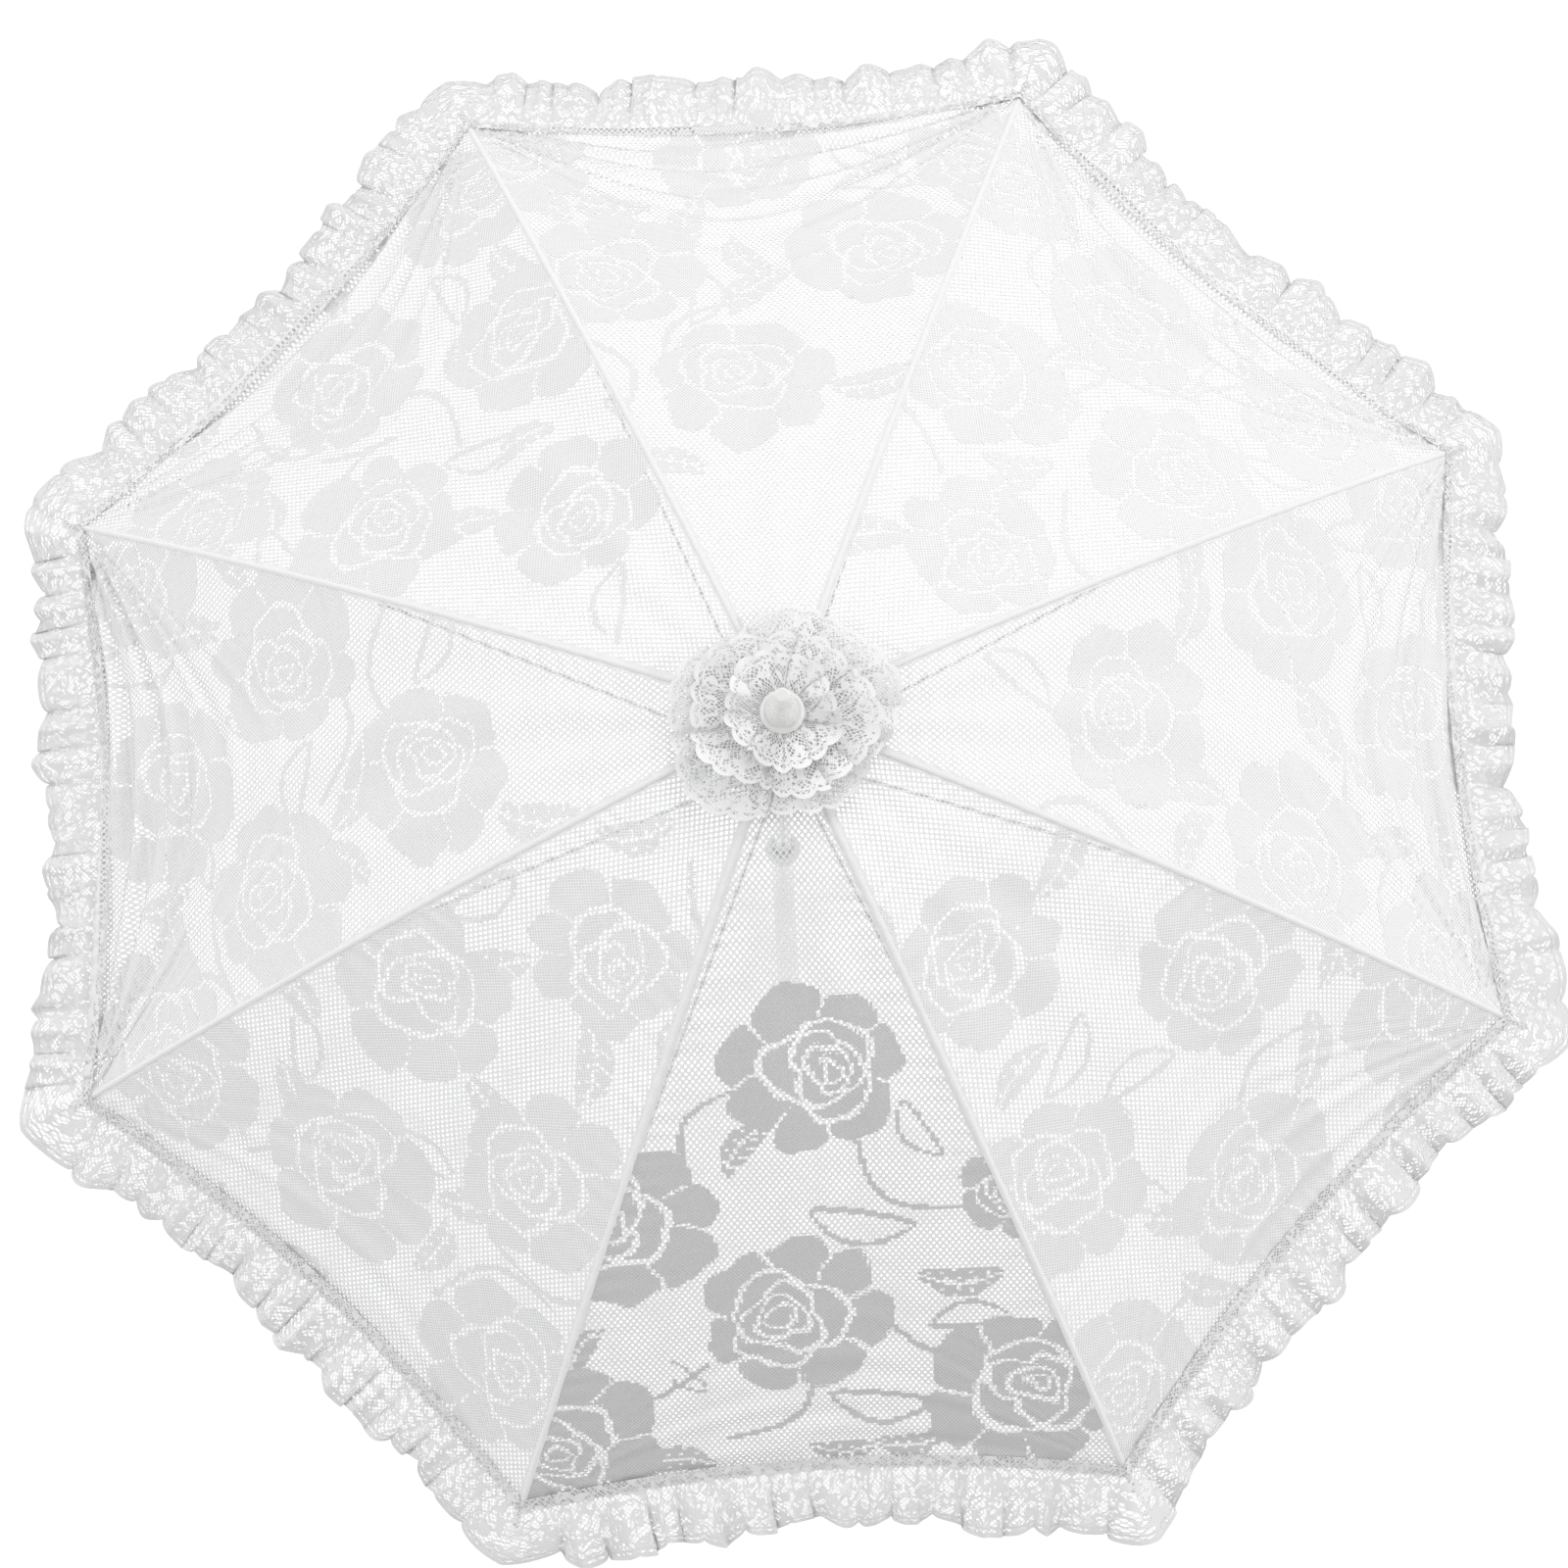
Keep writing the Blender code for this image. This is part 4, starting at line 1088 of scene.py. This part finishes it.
class PARASOL_OT_hardware(bpy.types.Operator):
    """Give the ribs, stretchers, rivets, shaft, crown, runner and the other hard parts their
    finishes"""

    bl_idname = "parasol.finish_hardware"
    bl_label = "Hard parts"

    def execute(self, context):
        props = settings().parasol_handle
        steel = tuple(props.steel)
        plated = steel_material("plated_rib_steel", steel, 0.30)
        bright = tuple(min(1.0, c * 1.12) for c in steel)
        tube = steel_material("bright_shaft_tube", bright, 0.16, drawn=900.0)
        nylon = plastic_material("white_nylon_fitting", (0.84, 0.84, 0.83), 0.48)
        plastic = plastic_material("white_moulded_plastic", tuple(props.plastic), 0.30)
        satin = tuple(c * 0.95 for c in steel)
        collar = steel_material("satin_collar_metal", satin, 0.34, drawn=500.0)
        finish = {"shaft_tube": tube, "handle_collar": collar}
        finish.update(dict.fromkeys(("ferrule", "handle_end_cap"), plastic))
        finish.update(dict.fromkeys(("crown", "runner", "top_cap"), nylon))
        for name, node in frame["nodes"].items():
            if node.hide_render:
                continue
            node.data.materials.clear()
            node.data.materials.append(finish.get(name, plated))
        return {"FINISHED"}


LIGHT_AIM = Vector((0.0, 0.0, 0.42))


class PARASOL_OT_stage(bpy.types.Operator):
    """Make the pale floor, the soft light and the camera above the parasol"""

    bl_idname = "parasol.make_stage"
    bl_label = "Stage"

    def execute(self, context):
        props = settings().parasol_stage
        scene = context.scene
        floor_z = CAD_BOX[0].z - 0.002
        me = bpy.data.meshes.new("floor")
        half = 9.0
        corners = [(-half, -half), (half, -half), (half, half), (-half, half)]
        me.from_pydata([(x, y, floor_z) for x, y in corners], [], [(0, 1, 2, 3)])
        floor = put_in_scene("floor", me)
        sh = Shade("pale_floor")
        mat = sh.surface(
            Base_Color=(*props.floor, 1.0),
            Roughness=0.9,
            Emission_Color=(1.0, 1.0, 1.0, 1.0),
            Emission_Strength=0.27,
        )
        me.materials.append(mat)
        world = bpy.data.worlds.new("soft_sky")
        world.use_nodes = True
        sky = world.node_tree.nodes["Background"]
        sky.inputs[0].default_value = (1.0, 1.0, 1.0, 1.0)
        sky.inputs[1].default_value = props.fill
        scene.world = world
        for name, place, share in (
            ("key_light", (1.00, 2.15, 2.05), 1.0),
            ("right_light", (2.50, -0.20, 1.85), 0.85),
            ("left_light", (-2.46, 0.43, 1.85), 0.95),
        ):
            light = bpy.data.lights.new(name, "AREA")
            light.shape = "DISK"
            light.size = 1.3
            light.energy = props.key * share
            ob = put_in_scene(name, light)
            ob.location = place
            # a light shines along its own -Z
            ob.rotation_euler = (LIGHT_AIM - Vector(place)).to_track_quat("-Z", "Y").to_euler()
        cam = bpy.data.cameras.new("camera")
        cam.lens = 58.5
        cam.sensor_width = 36.0
        cam.clip_start, cam.clip_end = 0.02, 60.0
        ob = put_in_scene("camera", cam)
        ob.location = (-0.0114, -0.2183, 1.6424)
        ob.rotation_euler = (math.radians(9.33), math.radians(0.01), math.radians(-3.25))
        scene.camera = ob
        scene.view_settings.view_transform = "Standard"
        scene.view_settings.look = "None"
        return {"FINISHED"}


class PARASOL_PT_panel(bpy.types.Panel):
    """The parasol's settings and makers"""

    bl_label = "Lace Parasol"
    bl_idname = "PARASOL_PT_panel"
    bl_space_type = "VIEW_3D"
    bl_region_type = "UI"
    bl_category = "Parasol"

    def draw(self, context):
        for group in GROUPS:
            props = getattr(context.scene, group)
            box = self.layout.box()
            for name in props.__annotations__:
                box.prop(props, name)
        for op in OPERATORS:
            self.layout.operator(op.bl_idname)


GROUPS = {
    "parasol_cover": ParasolCover,
    "parasol_frill": ParasolFrill,
    "parasol_handle": ParasolHandle,
    "parasol_stage": ParasolStage,
}
OPERATORS = (
    PARASOL_OT_stage,
    PARASOL_OT_seams,
    PARASOL_OT_cover,
    PARASOL_OT_frill,
    PARASOL_OT_rosette,
    PARASOL_OT_handle,
    PARASOL_OT_hardware,
)


def register():
    for name, group in GROUPS.items():
        bpy.utils.register_class(group)
        setattr(bpy.types.Scene, name, PointerProperty(type=group))
    for cls in (*OPERATORS, PARASOL_PT_panel):
        bpy.utils.register_class(cls)


def unregister():
    for cls in (PARASOL_PT_panel, *reversed(OPERATORS)):
        bpy.utils.unregister_class(cls)
    for name, group in GROUPS.items():
        delattr(bpy.types.Scene, name)
        bpy.utils.unregister_class(group)


def main():
    register()
    bpy.ops.parasol.make_stage()
    bpy.ops.parasol.make_seams()
    bpy.ops.parasol.make_cover()
    bpy.ops.parasol.make_frill()
    bpy.ops.parasol.make_rosette()
    bpy.ops.parasol.make_handle()
    bpy.ops.parasol.finish_hardware()


if __name__ == "__main__":
    main()
